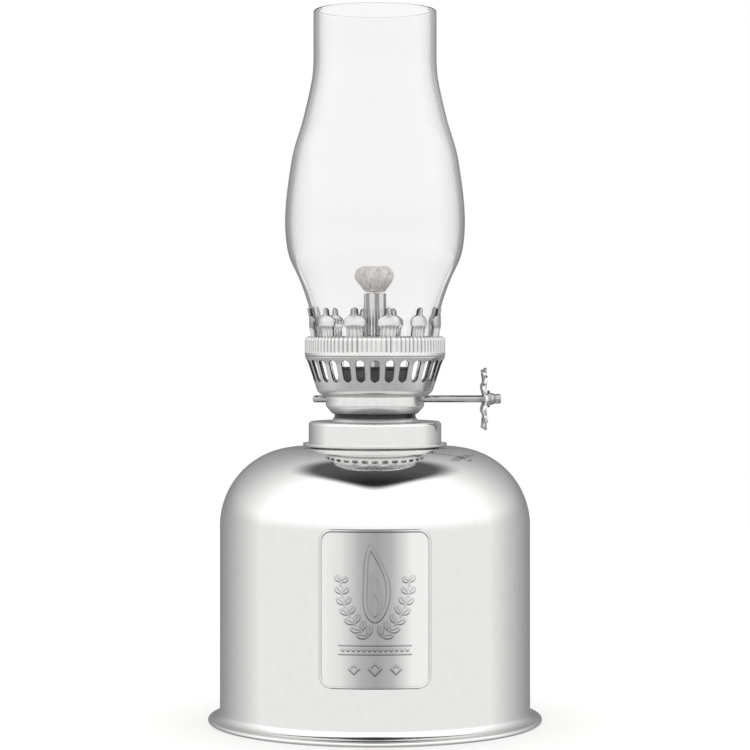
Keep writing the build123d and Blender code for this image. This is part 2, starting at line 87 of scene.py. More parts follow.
def tint(name, code, description):
    """A property that holds a colour, given as an sRGB hex code."""
    return bpy.props.FloatVectorProperty(name=name, description=description, size=4,
                                         subtype="COLOR", default=linear_colour(code),
                                         min=0.0, max=1.0)


def amount(name, default, description):
    """A property that holds a plain share from 0 to 1."""
    return bpy.props.FloatProperty(name=name, description=description, default=default,
                                   min=0.0, max=1.0, subtype="FACTOR")


class LampFinishes(bpy.types.PropertyGroup):
    """Colours and gloss of the lamp's materials."""
    nickel: tint("Nickel plate", "D6D6D5", "Colour of the bright nickel plate")
    nickel_roughness: amount("Nickel roughness", 0.07, "Roughness of the buffed plate")
    pressed_roughness: amount("Pressed roughness", 0.17, "Roughness of pressed sheet")
    plaque: tint("Plaque", "DDDDDC", "Colour of the satin plaque")
    tin: tint("Tinned steel", "A9A9A8", "Colour of the tinned base pan")
    steel: tint("Steel wire", "A6A6A5", "Colour of the drawn shaft")
    cotton: tint("Cotton", "F8F3F0", "Colour of the bleached wick yarn")
    # The inner cup is given a plain dark grey, well below the plate's colour
    dark_cup: tint("Dark cup steel", "6A6968", "Colour of the dark inner cup")
    gasket: tint("Gasket", "2C2622", "Colour of the rubber gasket")


class ReservoirSizes(bpy.types.PropertyGroup):
    """Sizes of the reservoir's spun sheet."""
    wall_radius: length("Wall radius", 0.0516, "Outer radius of the upright wall")
    shoulder: length("Shoulder radius", 0.026, "Radius of the round shoulder")
    sheet: length("Sheet", 0.0007, "Thickness of the metal")
    bead: length("Bead radius", 0.0008, "Radius of the rolled edge of the foot")
    hem: length("Hem", 0.0015, "Flat width under the foot")
    neck_hole: length("Neck hole", 0.02005, "Radius of the hole in the dome")


class PlaqueSizes(bpy.types.PropertyGroup):
    """Sizes of the pressed front plaque."""
    corner: length("Corner radius", 0.0042, "Radius of the plaque's corners")
    border: length("Border", 0.0009, "Width of the raised border")
    relief: length("Relief", 0.00025, "How far the emblem stands proud")
    sheet: length("Sheet", 0.00045, "Thickness of the plate")


class BurnerSizes(bpy.types.PropertyGroup):
    """Sizes of the cap, housing and basket."""
    sheet: length("Sheet", 0.0005, "Thickness of the pressed sheet")
    cap_radius: length("Cap radius", 0.0221, "Outer radius of the cap's wall")
    cap_sheet: length("Cap sheet", 0.0007, "Thickness of the cap")
    cap_corner: length("Cap corner", 0.0012, "Radius of the cap's upper edge")
    stub_radius: length("Stub radius", 0.0135, "Radius of the stub between cap and housing")
    stub_flare: length("Stub flare", 0.0011, "How far the stub flares onto the cap")
    slots: bpy.props.IntProperty(name="Slots", default=28, min=3,
                                 description="Number of air slots round the basket")
    slot_width: length("Slot width", 0.00275, "Width of one air slot")
    slot_height: length("Slot height", 0.0072, "Height of one air slot")
    slot_base: length("Slot base", 0.0046, "Basket's foot to the bottom of the slots")
    basket_hole: length("Basket hole", 0.0152, "Radius of the opening in the basket's floor")
    basket_floor: length("Basket floor", 0.0183, "Radius where the basket's side would start")
    basket_side: length("Basket side", 0.0218, "Radius at the foot of the short upper flare")
    basket_flare: length("Flare height", 0.0023, "Height of the short upper flare")


class CrownSizes(bpy.types.PropertyGroup):
    """Sizes of the pleated gallery crown."""
    ring_height: length("Ring height", 0.0064, "Height of the pleated ring")
    ring_radius: length("Ring radius", 0.0234, "Outer radius of the pleated ring")
    root_radius: length("Prong root", 0.0214, "Radius at the roots of the prongs")
    waist_radius: length("Prong waist", 0.0222, "Radius where the prongs start to curl out")
    waist_rise: length("Waist rise", 0.0059, "Top of the ring to where the prongs curl out")
    pleats: bpy.props.IntProperty(name="Pleats", default=90, min=12,
                                  description="Number of pleats round the ring")
    pleat_depth: length("Pleat depth", 0.00045, "Depth of the pleats")
    prongs: bpy.props.IntProperty(name="Prongs", default=12, min=3,
                                  description="Number of prongs that hold the glass")
    phase: bpy.props.FloatProperty(name="First prong", default=radians(-18), unit="ROTATION",
                                   subtype="ANGLE", description="Turn of one prong from the front")


class WickSizes(bpy.types.PropertyGroup):
    """Sizes of the wick's loose head."""
    neck_radius: length("Neck radius", 0.0034, "Radius of the head where it leaves the tube")
    strands: bpy.props.IntProperty(name="Strands", default=900, min=10,
                                   description="Number of loose strands on the head")
    strand_radius: length("Strand radius", 0.00012, "Radius of one strand of yarn")


class WinderSizes(bpy.types.PropertyGroup):
    """Sizes of the winder's pierced knob."""
    lobes: bpy.props.IntProperty(name="Lobes", default=16, min=4,
                                 description="Number of scallops round the rim")
    knob_sheet: length("Knob sheet", 0.0011, "Thickness of the knob's stamped sheet")
    shaft_radius: length("Shaft radius", 0.0012, "Radius of the shaft")
    petals: bpy.props.IntProperty(name="Petals", default=8, min=3,
                                  description="Number of pierced petals")
    bevel: length("Edge rounding", 0.00025, "Rounding of the knob's edges")


class GlassSizes(bpy.types.PropertyGroup):
    """Sizes of the blown chimney."""
    wall: length("Wall", 0.0015, "Thickness of the glass")
    base_radius: length("Base radius", 0.0206, "Outer radius at the foot")
    neck_radius: length("Neck radius", 0.0205, "Outer radius of the straight neck")
    belly_rise: length("Belly rise", 0.0405, "Foot of the glass to its widest place")
    neck_rise: length("Neck rise", 0.094, "Foot of the glass to the straight neck")


class StageSizes(bpy.types.PropertyGroup):
    """The camera and the floor."""
    distance: length("Camera distance", 0.825, "Lamp's axis to the camera")
    height: length("Camera height", 0.1293, "Floor to the camera")
    lens: bpy.props.FloatProperty(name="Lens", default=118.8, min=1.0,
                                  description="Focal length in millimetres on a 36 mm sensor")
    shift: bpy.props.FloatProperty(name="Upward shift", default=-0.0573,
                                   description="Vertical shift of the level camera")
    floor: tint("Floor", "F7F7F6", "Colour of the floor")
    floor_reach: length("Floor reach", 0.8, "Lamp's axis to the edge of the floor")


# ---------------------------------------------------------------------------------------------
# Shapes
# ---------------------------------------------------------------------------------------------

def rounded_path(corners, radii, steps=10):
    """Points along straight runs whose inner corners are arcs of the given radii.

    Each arc touches its two runs at its radius times the tangent of half the turn from the
    corner, and its points turn evenly from the first run's direction to the second's.
    """
    corners = np.asarray(corners, float)
    points = [corners[:1]]
    for before, here, after, radius in zip(corners[:-2], corners[1:-1], corners[2:], radii):
        into = (here - before) / np.linalg.norm(here - before)
        out = (after - here) / np.linalg.norm(after - here)
        turn = np.arctan2(into[0] * out[1] - into[1] * out[0], into @ out)
        reach = radius * abs(np.tan(turn / 2))
        side = np.array([-into[1], into[0]]) * np.sign(turn)
        centre = here - into * reach + side * radius
        angle = np.linspace(0, turn, steps)[:, None]
        spoke = -side * radius
        quarter = np.array([-spoke[1], spoke[0]])
        points.append(centre + spoke * np.cos(angle) + quarter * np.sin(angle))
    points.append(corners[-1:])
    return np.vstack(points)


def smooth_path(knots, count):
    """A smooth outline through a few knots: a monotone cubic of radius over height.

    The slope at each inner knot is the harmonic mean of the slopes on its two sides, and zero
    at both ends, so the outline never swings past a knot.
    """
    knots = np.asarray(knots, float)
    radius, height = knots[:, 0], knots[:, 1]
    step = np.diff(height)
    slope = np.diff(radius) / step
    product = slope[:-1] * slope[1:]
    inner = np.where(product > 0, 2 * product / np.where(product > 0, slope[:-1] + slope[1:], 1), 0)
    ends = np.concatenate([[0], inner, [0]])
    z = np.linspace(height[0], height[-1], count)
    k = np.clip(np.searchsorted(height, z, side="right") - 1, 0, len(step) - 1)
    t = (z - height[k]) / step[k]
    r = ((2 * t**3 - 3 * t**2 + 1) * radius[k] + (t**3 - 2 * t**2 + t) * step[k] * ends[k]
         + (3 * t**2 - 2 * t**3) * radius[k + 1] + (t**3 - t**2) * step[k] * ends[k + 1])
    return np.column_stack([r, z])


def even_path(path, count):
    """The same path with its points spaced evenly along its length."""
    run = np.concatenate([[0], np.cumsum(np.linalg.norm(np.diff(path, axis=0), axis=1))])
    at = np.linspace(0, run[-1], count)
    return np.column_stack([np.interp(at, run, path[:, 0]), np.interp(at, run, path[:, 1])])


def sheet_loop(path, thickness):
    """A closed outline of a sheet: the path, and back again one thickness to its left."""
    along = np.gradient(path, axis=0)
    along /= np.linalg.norm(along, axis=1)[:, None]
    left = np.column_stack([-along[:, 1], along[:, 0]])
    return np.vstack([path, (path + left * thickness)[::-1]])


def grid_faces(rows, columns, wrap_rows=False, wrap_columns=False):
    """Quads between neighbouring points of a grid, numbered row by row."""
    r = np.arange(rows if wrap_rows else rows - 1)
    c = np.arange(columns if wrap_columns else columns - 1)
    r, c = np.meshgrid(r, c, indexing="ij")
    r2, c2 = (r + 1) % rows, (c + 1) % columns
    return np.stack([r * columns + c, r * columns + c2, r2 * columns + c2, r2 * columns + c],
                    axis=-1).reshape(-1, 4)


def make_piece(name, points, faces, body, material, sharp=35, painted_shade_and_tone=None):
    """Puts points and faces into a mesh, closes its seams and points its faces outwards.

    The last argument, where given, is a value from 0 to 1 for each point that darkens the piece
    there: painted shade in some places, such as the gap under the housing, and darker grooves, cut
    edges, patina and tone in others.
    """
    mesh = bpy.data.meshes.new(name)
    faces = faces if isinstance(faces, list) else faces.tolist()
    mesh.from_pydata(np.asarray(points).tolist(), [], faces)
    if painted_shade_and_tone is not None:
        mesh.attributes.new("painted_shade_and_tone", "FLOAT", "POINT").data.foreach_set(
            "value", np.ascontiguousarray(painted_shade_and_tone, dtype=np.float32).ravel())
    tidy = bmesh.new()
    tidy.from_mesh(mesh)
    bmesh.ops.remove_doubles(tidy, verts=tidy.verts, dist=2e-7)
    bmesh.ops.recalc_face_normals(tidy, faces=tidy.faces)
    tidy.to_mesh(mesh)
    tidy.free()
    mesh.shade_smooth()
    mesh.set_sharp_from_angle(angle=radians(sharp))
    mesh.materials.append(bpy.data.materials[material])
    piece = bpy.data.objects.new(name, mesh)
    bpy.context.scene.collection.objects.link(piece)
    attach(piece, body)
    return piece


def round_axis(radius, angle, height):
    """Points at a radius and an angle round the Z axis and at a height, for whole arrays."""
    return np.stack(np.broadcast_arrays(radius * np.cos(angle), radius * np.sin(angle),
                                        height + 0 * angle), -1)


def turned(loop, columns, closed=True, ripple=None):
    """A surface of revolution: each point of the outline is carried once round the Z axis.

    ripple, where given, is an array (outline points, columns) that is added to the radius.
    """
    angle = np.arange(columns) * 2 * pi / columns
    radius = loop[:, :1] + (0 if ripple is None else ripple)
    points = round_axis(radius, angle, loop[:, 1:])
    return points.reshape(-1, 3), grid_faces(len(loop), columns, closed, True)


def spun(name, loop, body, material, columns=160, painted_shade_and_tone=None):
    """A piece turned from a closed outline of radius and height, with a darkening for each point:
    painted shade in some places and tone in others.
    """
    points, faces = turned(loop, columns)
    shade = None if painted_shade_and_tone is None else np.repeat(painted_shade_and_tone, columns)
    return make_piece(name, points, faces, body, material, painted_shade_and_tone=shade)


# ---------------------------------------------------------------------------------------------
# Materials
# ---------------------------------------------------------------------------------------------

def add_node(tree, kind, settings=None, **inputs):
    """Adds a shader node. settings are its own values, and inputs are values or sockets by name."""
    node = tree.nodes.new(kind)
    for key, value in (settings or {}).items():
        setattr(node, key, value)
    for key, value in inputs.items():
        socket = node.inputs[int(key[1:]) if key[0] == "i" and key[1:].isdigit()
                             else key.replace("_", " ")]
        if isinstance(value, bpy.types.NodeSocket):
            tree.links.new(value, socket)
        else:
            socket.default_value = value
    return node


def new_material(name):
    """The empty node tree of a new material."""
    material = bpy.data.materials.new(name)
    material.use_nodes = True
    material.node_tree.nodes.clear()
    return material.node_tree


def darkened(tree, colour, depth):
    """A colour, as a value or a socket, made darker by up to depth where the piece's darkening is
    marked: painted shade in some places, its own tone in others.
    """
    painted_shade_and_tone = add_node(tree, "ShaderNodeAttribute", {"attribute_name": "painted_shade_and_tone"})
    clean = add_node(tree, "ShaderNodeMath", {"operation": "MULTIPLY_ADD"},
                     i0=painted_shade_and_tone.outputs["Fac"], i1=-depth, i2=1.0)
    return add_node(tree, "ShaderNodeVectorMath", {"operation": "SCALE"},
                    i0=colour, Scale=clean.outputs[0]).outputs[0]


def turning_coordinates(tree, ring_pitch):
    """Coordinates that change quickly across a lathe's path and slowly along it.

    They are the distance from the axis and the height, both divided by the pitch of the rings,
    and X at a small scale. The plain Object coordinates are given as well.
    """
    place = add_node(tree, "ShaderNodeTexCoord").outputs["Object"]
    axes = add_node(tree, "ShaderNodeSeparateXYZ", Vector=place)
    flat = add_node(tree, "ShaderNodeCombineXYZ", X=axes.outputs["X"], Y=axes.outputs["Y"])
    reach = add_node(tree, "ShaderNodeVectorMath", {"operation": "LENGTH"}, i0=flat.outputs[0])
    across = add_node(tree, "ShaderNodeMath", {"operation": "MULTIPLY"},
                      i0=reach.outputs["Value"], i1=1 / ring_pitch)
    up = add_node(tree, "ShaderNodeMath", {"operation": "MULTIPLY"},
                  i0=axes.outputs["Z"], i1=1 / ring_pitch)
    slow = add_node(tree, "ShaderNodeMath", {"operation": "MULTIPLY"},
                    i0=axes.outputs["X"], i1=12.0)
    return add_node(tree, "ShaderNodeCombineXYZ", X=across.outputs[0], Y=up.outputs[0],
                    Z=slow.outputs[0]).outputs[0], place


def plated_metal(name, colour, roughness, ring_pitch, ring_bump, mottle, bands=0.0):
    """Bright plate over turned or pressed sheet.

    The colour drifts slightly where the plate is thin and darkens where a piece marks it: in grooves
    and at cut edges, and as painted shade in the gap under the housing and on the sides of the
    prongs' curled heads. The roughness varies in soft patches from handling, and fine rings left by
    the lathe and the buffing wheel stretch highlights.

    bands is how much darker seven upright bands round the axis are. They aren't a mark on the
    metal: they stand in for dark surroundings that a narrow bright tube mirrors, and stay where
    they are from every side.
    """
    tree = new_material(name)
    rings, place = turning_coordinates(tree, ring_pitch)
    ring_noise = add_node(tree, "ShaderNodeTexNoise", Vector=rings, Scale=1.0, Detail=3.0)
    patches = add_node(tree, "ShaderNodeTexNoise", Vector=place, Scale=55.0, Detail=4.0)
    grime = add_node(tree, "ShaderNodeTexNoise", Vector=place, Scale=420.0, Detail=3.0)
    rough = add_node(tree, "ShaderNodeMapRange", Value=patches.outputs["Fac"],
                     i1=0.3, i2=0.7, i3=roughness * 0.75, i4=roughness * 1.5)
    shade = add_node(tree, "ShaderNodeMapRange", Value=grime.outputs["Fac"],
                     i1=0.35, i2=0.7, i3=1.0, i4=1.0 - mottle)
    base = darkened(tree, colour[:3], 0.95)
    factors = [shade]
    if bands:
        axes = add_node(tree, "ShaderNodeSeparateXYZ", Vector=place)
        turn = add_node(tree, "ShaderNodeMath", {"operation": "ARCTAN2"},
                        i0=axes.outputs["Y"], i1=axes.outputs["X"])
        wave = add_node(tree, "ShaderNodeMath", {"operation": "MULTIPLY_ADD"},
                        i0=turn.outputs[0], i1=7.0, i2=1.9)
        wave = add_node(tree, "ShaderNodeMath", {"operation": "SINE"}, i0=wave.outputs[0])
        factors.append(add_node(tree, "ShaderNodeMapRange", {"interpolation_type": "SMOOTHSTEP"},
                                Value=wave.outputs[0], i1=-0.5, i2=0.3, i3=1.0 - bands, i4=1.0))
    for factor in factors:
        base = add_node(tree, "ShaderNodeVectorMath", {"operation": "SCALE"},
                        i0=base, Scale=factor.outputs[0]).outputs[0]
    bump = add_node(tree, "ShaderNodeBump", Strength=1.0, Distance=ring_bump,
                    Height=ring_noise.outputs["Fac"])
    shader = add_node(tree, "ShaderNodeBsdfPrincipled", Metallic=1.0, Base_Color=base,
                      Roughness=rough.outputs[0], Normal=bump.outputs[0])
    add_node(tree, "ShaderNodeOutputMaterial", Surface=shader.outputs[0])


def satin_plate(name, colour):
    """Satin plaque: pressed sheet, brushed upright, so highlights spread sideways.

    Broad upright bands, light at the left and right and dark in the middle, are a painted reflection
    laid into the colour, so they stay where they are from every side, and the hollows of the pattern
    are darker still.
    """
    tree = new_material(name)
    place = add_node(tree, "ShaderNodeTexCoord").outputs["Object"]
    axes = add_node(tree, "ShaderNodeSeparateXYZ", Vector=place)
    # Upright brush lines, 0.12 mm apart and about 8 mm long
    brushed = add_node(tree, "ShaderNodeMapping", Vector=place, Scale=(8000.0, 8000.0, 120.0))
    lines = add_node(tree, "ShaderNodeTexNoise", Vector=brushed.outputs[0], Scale=1.0, Detail=2.0)
    patches = add_node(tree, "ShaderNodeTexNoise", Vector=place, Scale=70.0, Detail=3.0)
    rough = add_node(tree, "ShaderNodeMapRange", Value=patches.outputs["Fac"],
                     i1=0.3, i2=0.7, i3=0.2, i4=0.3)
    bump = add_node(tree, "ShaderNodeBump", Strength=1.0, Distance=0.000012,
                    Height=lines.outputs["Fac"])
    # Painted reflection: bands across the plate's 36 mm, light at the sides and dark in the middle
    bands = add_node(tree, "ShaderNodeMapRange", Value=axes.outputs["X"],
                     i1=-0.018, i2=0.018, i3=0.0, i4=1.0)
    shades = add_node(tree, "ShaderNodeValToRGB", Fac=bands.outputs[0])
    stops = ((0.0, 1.0), (0.2, 0.86), (0.38, 0.5), (0.52, 0.42), (0.64, 0.52), (0.82, 0.98),
             (1.0, 1.0))
    ramp = shades.color_ramp.elements
    ramp.remove(ramp[1])
    for place_at, shade in stops:
        stop = ramp[0] if place_at == 0 else ramp.new(place_at)
        stop.color = (shade, shade, shade, 1)
    base = add_node(tree, "ShaderNodeVectorMath", {"operation": "MULTIPLY"},
                    i0=colour[:3], i1=shades.outputs["Color"])
    base = darkened(tree, base.outputs[0], 0.75)
    shader = add_node(tree, "ShaderNodeBsdfPrincipled", Metallic=1.0, Base_Color=base,
                      Roughness=rough.outputs[0], Normal=bump.outputs[0])
    add_node(tree, "ShaderNodeOutputMaterial", Surface=shader.outputs[0])


def blown_glass(name):
    """Clear soda-lime glass: barely grey, with faint ream from blowing that bends the view."""
    tree = new_material(name)
    place = add_node(tree, "ShaderNodeTexCoord").outputs["Object"]
    ream = add_node(tree, "ShaderNodeMapping", Vector=place, Scale=(60.0, 60.0, 14.0))
    waves = add_node(tree, "ShaderNodeTexNoise", Vector=ream.outputs[0], Scale=1.0, Detail=1.0)
    bump = add_node(tree, "ShaderNodeBump", Strength=1.0, Distance=0.00006,
                    Height=waves.outputs["Fac"])
    shader = add_node(tree, "ShaderNodeBsdfPrincipled", Base_Color=linear_colour("F8F8F8"),
                      Roughness=0.0, IOR=1.5, Normal=bump.outputs[0])
    shader.inputs["Transmission Weight"].default_value = 1.0
    add_node(tree, "ShaderNodeOutputMaterial", Surface=shader.outputs[0])


def cotton_yarn(name, colour, pitch):
    """Soft cotton: matt, with a fine twist in the yarn, darker where strands lie in shadow."""
    tree = new_material(name)
    place = add_node(tree, "ShaderNodeTexCoord").outputs["Object"]
    fluff = add_node(tree, "ShaderNodeTexNoise", Vector=place, Scale=0.35 / pitch, Detail=5.0)
    broad = add_node(tree, "ShaderNodeTexNoise", Vector=place, Scale=0.06 / pitch, Detail=3.0)
    shade = add_node(tree, "ShaderNodeMapRange", Value=broad.outputs["Fac"],
                     i1=0.3, i2=0.7, i3=0.82, i4=1.0)
    base = add_node(tree, "ShaderNodeVectorMath", {"operation": "SCALE"},
                    i0=darkened(tree, colour[:3], 0.7), Scale=shade.outputs[0])
    bump = add_node(tree, "ShaderNodeBump", Strength=0.6, Distance=pitch * 0.3,
                    Height=fluff.outputs["Fac"])
    shader = add_node(tree, "ShaderNodeBsdfPrincipled", Base_Color=base.outputs[0],
                      Roughness=0.9, Normal=bump.outputs[0])
    shader.inputs["Sheen Weight"].default_value = 0.15
    shader.inputs["Sheen Roughness"].default_value = 0.5
    add_node(tree, "ShaderNodeOutputMaterial", Surface=shader.outputs[0])


def moulded_rubber(name, colour):
    """Moulded rubber: dark, matt, with a faint bloom."""
    tree = new_material(name)
    place = add_node(tree, "ShaderNodeTexCoord").outputs["Object"]
    bloom = add_node(tree, "ShaderNodeTexNoise", Vector=place, Scale=600.0, Detail=3.0)
    rough = add_node(tree, "ShaderNodeMapRange", Value=bloom.outputs["Fac"],
                     i1=0.3, i2=0.7, i3=0.5, i4=0.75)
    shader = add_node(tree, "ShaderNodeBsdfPrincipled", Base_Color=colour,
                      Roughness=rough.outputs[0])
    add_node(tree, "ShaderNodeOutputMaterial", Surface=shader.outputs[0])


# ---------------------------------------------------------------------------------------------
# Operators
# ---------------------------------------------------------------------------------------------

class LAMP_OT_finishes(bpy.types.Operator):
    """Mix the lamp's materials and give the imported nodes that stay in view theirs"""
    bl_idname = "lamp.finishes"
    bl_label = "Finishes"

    def execute(self, context):
        sizes = context.scene.lamp_finishes
        # Name, colour, roughness, pitch and height of the rings in millimetres, mottle, bands
        for name, colour, roughness, pitch, bump, mottle, bands in (
                ("buffed_nickel", sizes.nickel, sizes.nickel_roughness, 0.25, 0.0012, 0.03, 0),
                ("pressed_nickel", sizes.nickel, sizes.pressed_roughness, 0.4, 0.004, 0.07, 0),
                ("tinned_steel", sizes.tin, 0.32, 0.6, 0.006, 0.15, 0),
                ("drawn_steel", sizes.steel, 0.14, 0.3, 0.004, 0.1, 0),
                ("rolled_tube", sizes.nickel, 0.12, 0.3, 0.004, 0.05, 0.6),
                ("dark_cup_steel", sizes.dark_cup, 0.35, 0.5, 0.004, 0.2, 0)):
            plated_metal(name, colour, roughness, pitch * MM, bump * MM, mottle, bands)
        satin_plate("satin_plate", sizes.plaque)
        blown_glass("chimney_glass")
        cotton_yarn("cotton_yarn", sizes.cotton, 0.3 * MM)
        moulded_rubber("moulded_rubber", sizes.gasket)
        kept = {
            "tinned_steel": ("base_pan", "neck_collar", "vent_tube", "tube_collar"),
            "pressed_nickel": ("chimney_seat", "shaft_bushes"),
            "dark_cup_steel": ("draught_cover",),
            "drawn_steel": ("spur_wheels", "shaft_collars"),
            "moulded_rubber": ("cap_gasket",),
            "cotton_yarn": ("wick_cord",),
            "rolled_tube": ("wick_tube",),
        }
        for material, nodes in kept.items():
            for node in nodes:
                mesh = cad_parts[node].data
                mesh.materials.clear()
                mesh.materials.append(bpy.data.materials[material])
        return {"FINISHED"}


class LAMP_OT_reservoir(bpy.types.Operator):
    """Spin the reservoir: flat crown, round shoulder, upright wall, flared foot and rolled bead"""
    bl_idname = "lamp.reservoir"
    bl_label = "Reservoir"

    def execute(self, context):
        sizes = context.scene.lamp_reservoir
        deck = high("reservoir_shell").z
        foot = high("reservoir_shell").x - sizes.bead
        turn = np.linspace(pi / 2, 0, 40)
        shoulder = np.column_stack([
            sizes.wall_radius - sizes.shoulder + sizes.shoulder * np.cos(turn),
            deck - sizes.shoulder + sizes.shoulder * np.sin(turn)])
        flare = foot - sizes.wall_radius
        dip = np.linspace(pi, 1.5 * pi, 14)
        fillet = np.column_stack([foot + flare * np.cos(dip),
                                  2 * sizes.bead + flare + flare * np.sin(dip)])
        roll = np.linspace(pi / 2, -pi / 2, 16)
        bead = np.column_stack([foot + sizes.bead * np.cos(roll),
                                sizes.bead + sizes.bead * np.sin(roll)])
        flat = np.linspace(sizes.neck_hole, shoulder[0, 0], 8)[:-1]
        crown = np.column_stack([flat, np.full_like(flat, deck)])
        wall = np.column_stack([np.full(24, sizes.wall_radius),
                                np.linspace(shoulder[-1, 1], fillet[0, 1], 26)[1:-1]])
        path = np.vstack([crown, shoulder, wall, fillet, bead[1:], [[foot - sizes.hem, 0]]])
        loop = sheet_loop(path[::-1], sizes.sheet)
        shell = spun("reservoir", loop, "reservoir", "buffed_nickel", columns=256)
        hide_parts("reservoir_shell")
        return {"FINISHED"}


class LAMP_OT_plaque(bpy.types.Operator):
    """Press the front plaque: a flame over a spray of leaves inside a raised border"""
    bl_idname = "lamp.plaque"
    bl_label = "Plaque"

    def execute(self, context):
        sizes = context.scene.lamp_plaque
        bottom, top = low("front_plaque"), high("front_plaque")
        half_width = top.x
        half_height = (top.z - bottom.z) / 2
        middle = (top.z + bottom.z) / 2
        radius = context.scene.lamp_reservoir.wall_radius + SOLDER_GAP
        # The back has one column of points for every nine at the front
        rows, columns, coarse = 290, 217, 9
        v = np.linspace(-1, 1, rows)[:, None]
        u = np.linspace(-1, 1, columns)[None, :]
        z = v * half_height
        past = np.clip(np.abs(z) - (half_height - sizes.corner), 0, None)
        width = half_width - sizes.corner + np.sqrt(np.clip(sizes.corner**2 - past**2, 0, None))
        x = u * width
        edge_x = half_width - np.abs(x)
        edge_z = half_height - np.abs(z) + 0 * u
        corner_x = np.clip(sizes.corner - edge_x, 0, None)
        corner_z = np.clip(sizes.corner - edge_z, 0, None)
        inset = np.where((corner_x > 0) & (corner_z > 0),
                         sizes.corner - np.hypot(corner_x, corner_z),
                         np.minimum(edge_x, edge_z))
        height = plaque_relief(x / MM, z / MM + 0 * u, inset / MM, sizes.border / MM)
        depth = radius + sizes.sheet + height * sizes.relief
        # Dark patina stays on the steep sides of the pattern and of the border
        steep = np.hypot(*np.gradient(height))
        hollow = np.clip(1.3 * steep, 0, 1)
        angle = x / (radius + sizes.sheet)
        front = np.stack([depth * np.sin(angle), -depth * np.cos(angle), middle + z + 0 * u], -1)
        angle = angle[:, ::coarse]
        back = np.stack([radius * np.sin(angle), -radius * np.cos(angle),
                         middle + z + 0 * angle], -1)
        count, width = rows * columns, angle.shape[1]
        left = np.arange(rows - 1)
        front_rows, back_rows = left * columns, count + left * width
        walls = np.vstack([
            np.column_stack([front_rows, front_rows + columns, back_rows + width, back_rows]),
            np.column_stack([front_rows + columns - 1, front_rows + 2 * columns - 1,
                             back_rows + 2 * width - 1, back_rows + width - 1])])
        cells = np.arange(width - 1)[:, None]
        fine = cells * coarse + np.arange(coarse + 1)
        ends = [np.column_stack([fine + row * columns, count + row * width + cells + 1,
                                 count + row * width + cells]) for row in (0, rows - 1)]
        faces = [part.tolist() for part in (grid_faces(rows, columns),
                                            grid_faces(rows, width) + count, walls, *ends)]
        plate = make_piece("front_plate", np.vstack([front.reshape(-1, 3), back.reshape(-1, 3)]),
                           sum(faces, []), "reservoir", "satin_plate", sharp=50,
                           painted_shade_and_tone=np.concatenate([hollow.ravel(), np.zeros(rows * width)]))
        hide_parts("front_plaque")
        return {"FINISHED"}


def soft_step(value, width):
    """0 below zero, 1 above width, with a smooth rise between."""
    t = np.clip(value / width, 0, 1)
    return t * t * (3 - 2 * t)


def plaque_relief(x, z, inset, border):
    """Height of the pressed pattern, as a share of the full relief.

    The border is a rounded ridge along the edge. The flame is a leaning teardrop with a hollow
    and an inner tongue. Each leaf is an ellipse about a line that leaves its stem at a slant,
    with a midrib. A row of beads, two thin rules and three lozenges lie below.
    """
    relief = np.sqrt(np.clip(1 - ((inset - border / 2) / (border / 2)) ** 2, 0, 1))

    def raise_to(shape):
        np.maximum(relief, shape, out=relief)

    def teardrop(foot, tip, breadth, lean):
        t = np.clip((z - foot) / (tip - foot), 0, 1)
        half = breadth * 1.75 * np.sqrt(t) * (1 - t) ** 0.85
        middle = lean * np.sin(pi * t * 1.6) * t
        return (half - np.abs(x - middle)) * ((z > foot) & (z < tip))

    # Flame: a raised outline, a hollow inside it and a domed tongue
    flame = teardrop(-4.2, 21.0, 6.3, 1.5)
    raise_to(soft_step(flame, 0.55))
    relief -= 0.85 * soft_step(flame - 1.25, 0.5)
    tongue = teardrop(-2.6, 12.6, 3.6, 0.9)
    raise_to(np.sqrt(soft_step(tongue, 2.2)))
    core = teardrop(-1.5, 5.4, 1.6, 0.4)
    relief -= 0.5 * soft_step(core, 0.5)
    # Two curved sprays of leaves that rise on each side of the flame
    mirrored = np.abs(x)
    for k in range(7):
        place = k / 6
        stem_x = 2.0 + 8.8 * np.sin(place * pi / 2)
        stem_z = -8.6 + 17.0 * place**1.3
        for slant in (0.15, 1.7):
            angle = slant + 0.8 * place
            along = (mirrored - stem_x) * np.cos(angle) + (z - stem_z) * np.sin(angle)
            across = -(mirrored - stem_x) * np.sin(angle) + (z - stem_z) * np.cos(angle)
            size = 4.3 - 1.2 * place
            half = 1.15 * np.sin(pi * np.clip(along / size, 0, 1)) ** 0.8
            leaf = soft_step(half - np.abs(across), 0.45) * (along > 0) * (along < size)
            raise_to(0.95 * leaf * (1 - 0.7 * np.exp(-(across / 0.17) ** 2)))
    stem = 2.0 + 8.8 * np.sin(np.clip((z + 8.6) / 17.0, 0, 1) ** (1 / 1.3) * pi / 2)
    raise_to(0.7 * soft_step(0.4 - np.abs(mirrored - stem), 0.3) * (z > -8.6) * (z < 8.4))
    # Beads, rules and lozenges
    bead = np.hypot((x + 0.85) % 1.7 - 0.85, z + 12.6)
    raise_to(np.sqrt(np.clip(1 - (bead / 0.62) ** 2, 0, 1)) * (mirrored < 11.0))
    for level in (-11.2, -14.0):
        raise_to(0.8 * soft_step(0.32 - np.abs(z - level), 0.25) * (mirrored < 11.6))
    for centre, size in ((-6.6, 2.2), (0.0, 2.6), (6.6, 2.2)):
        diamond = size - np.abs(x - centre) - np.abs(z + 18.6)
        raise_to(soft_step(diamond, 0.8) - 0.6 * soft_step(diamond - 1.0, 0.5))
    return np.clip(relief, 0, 1)


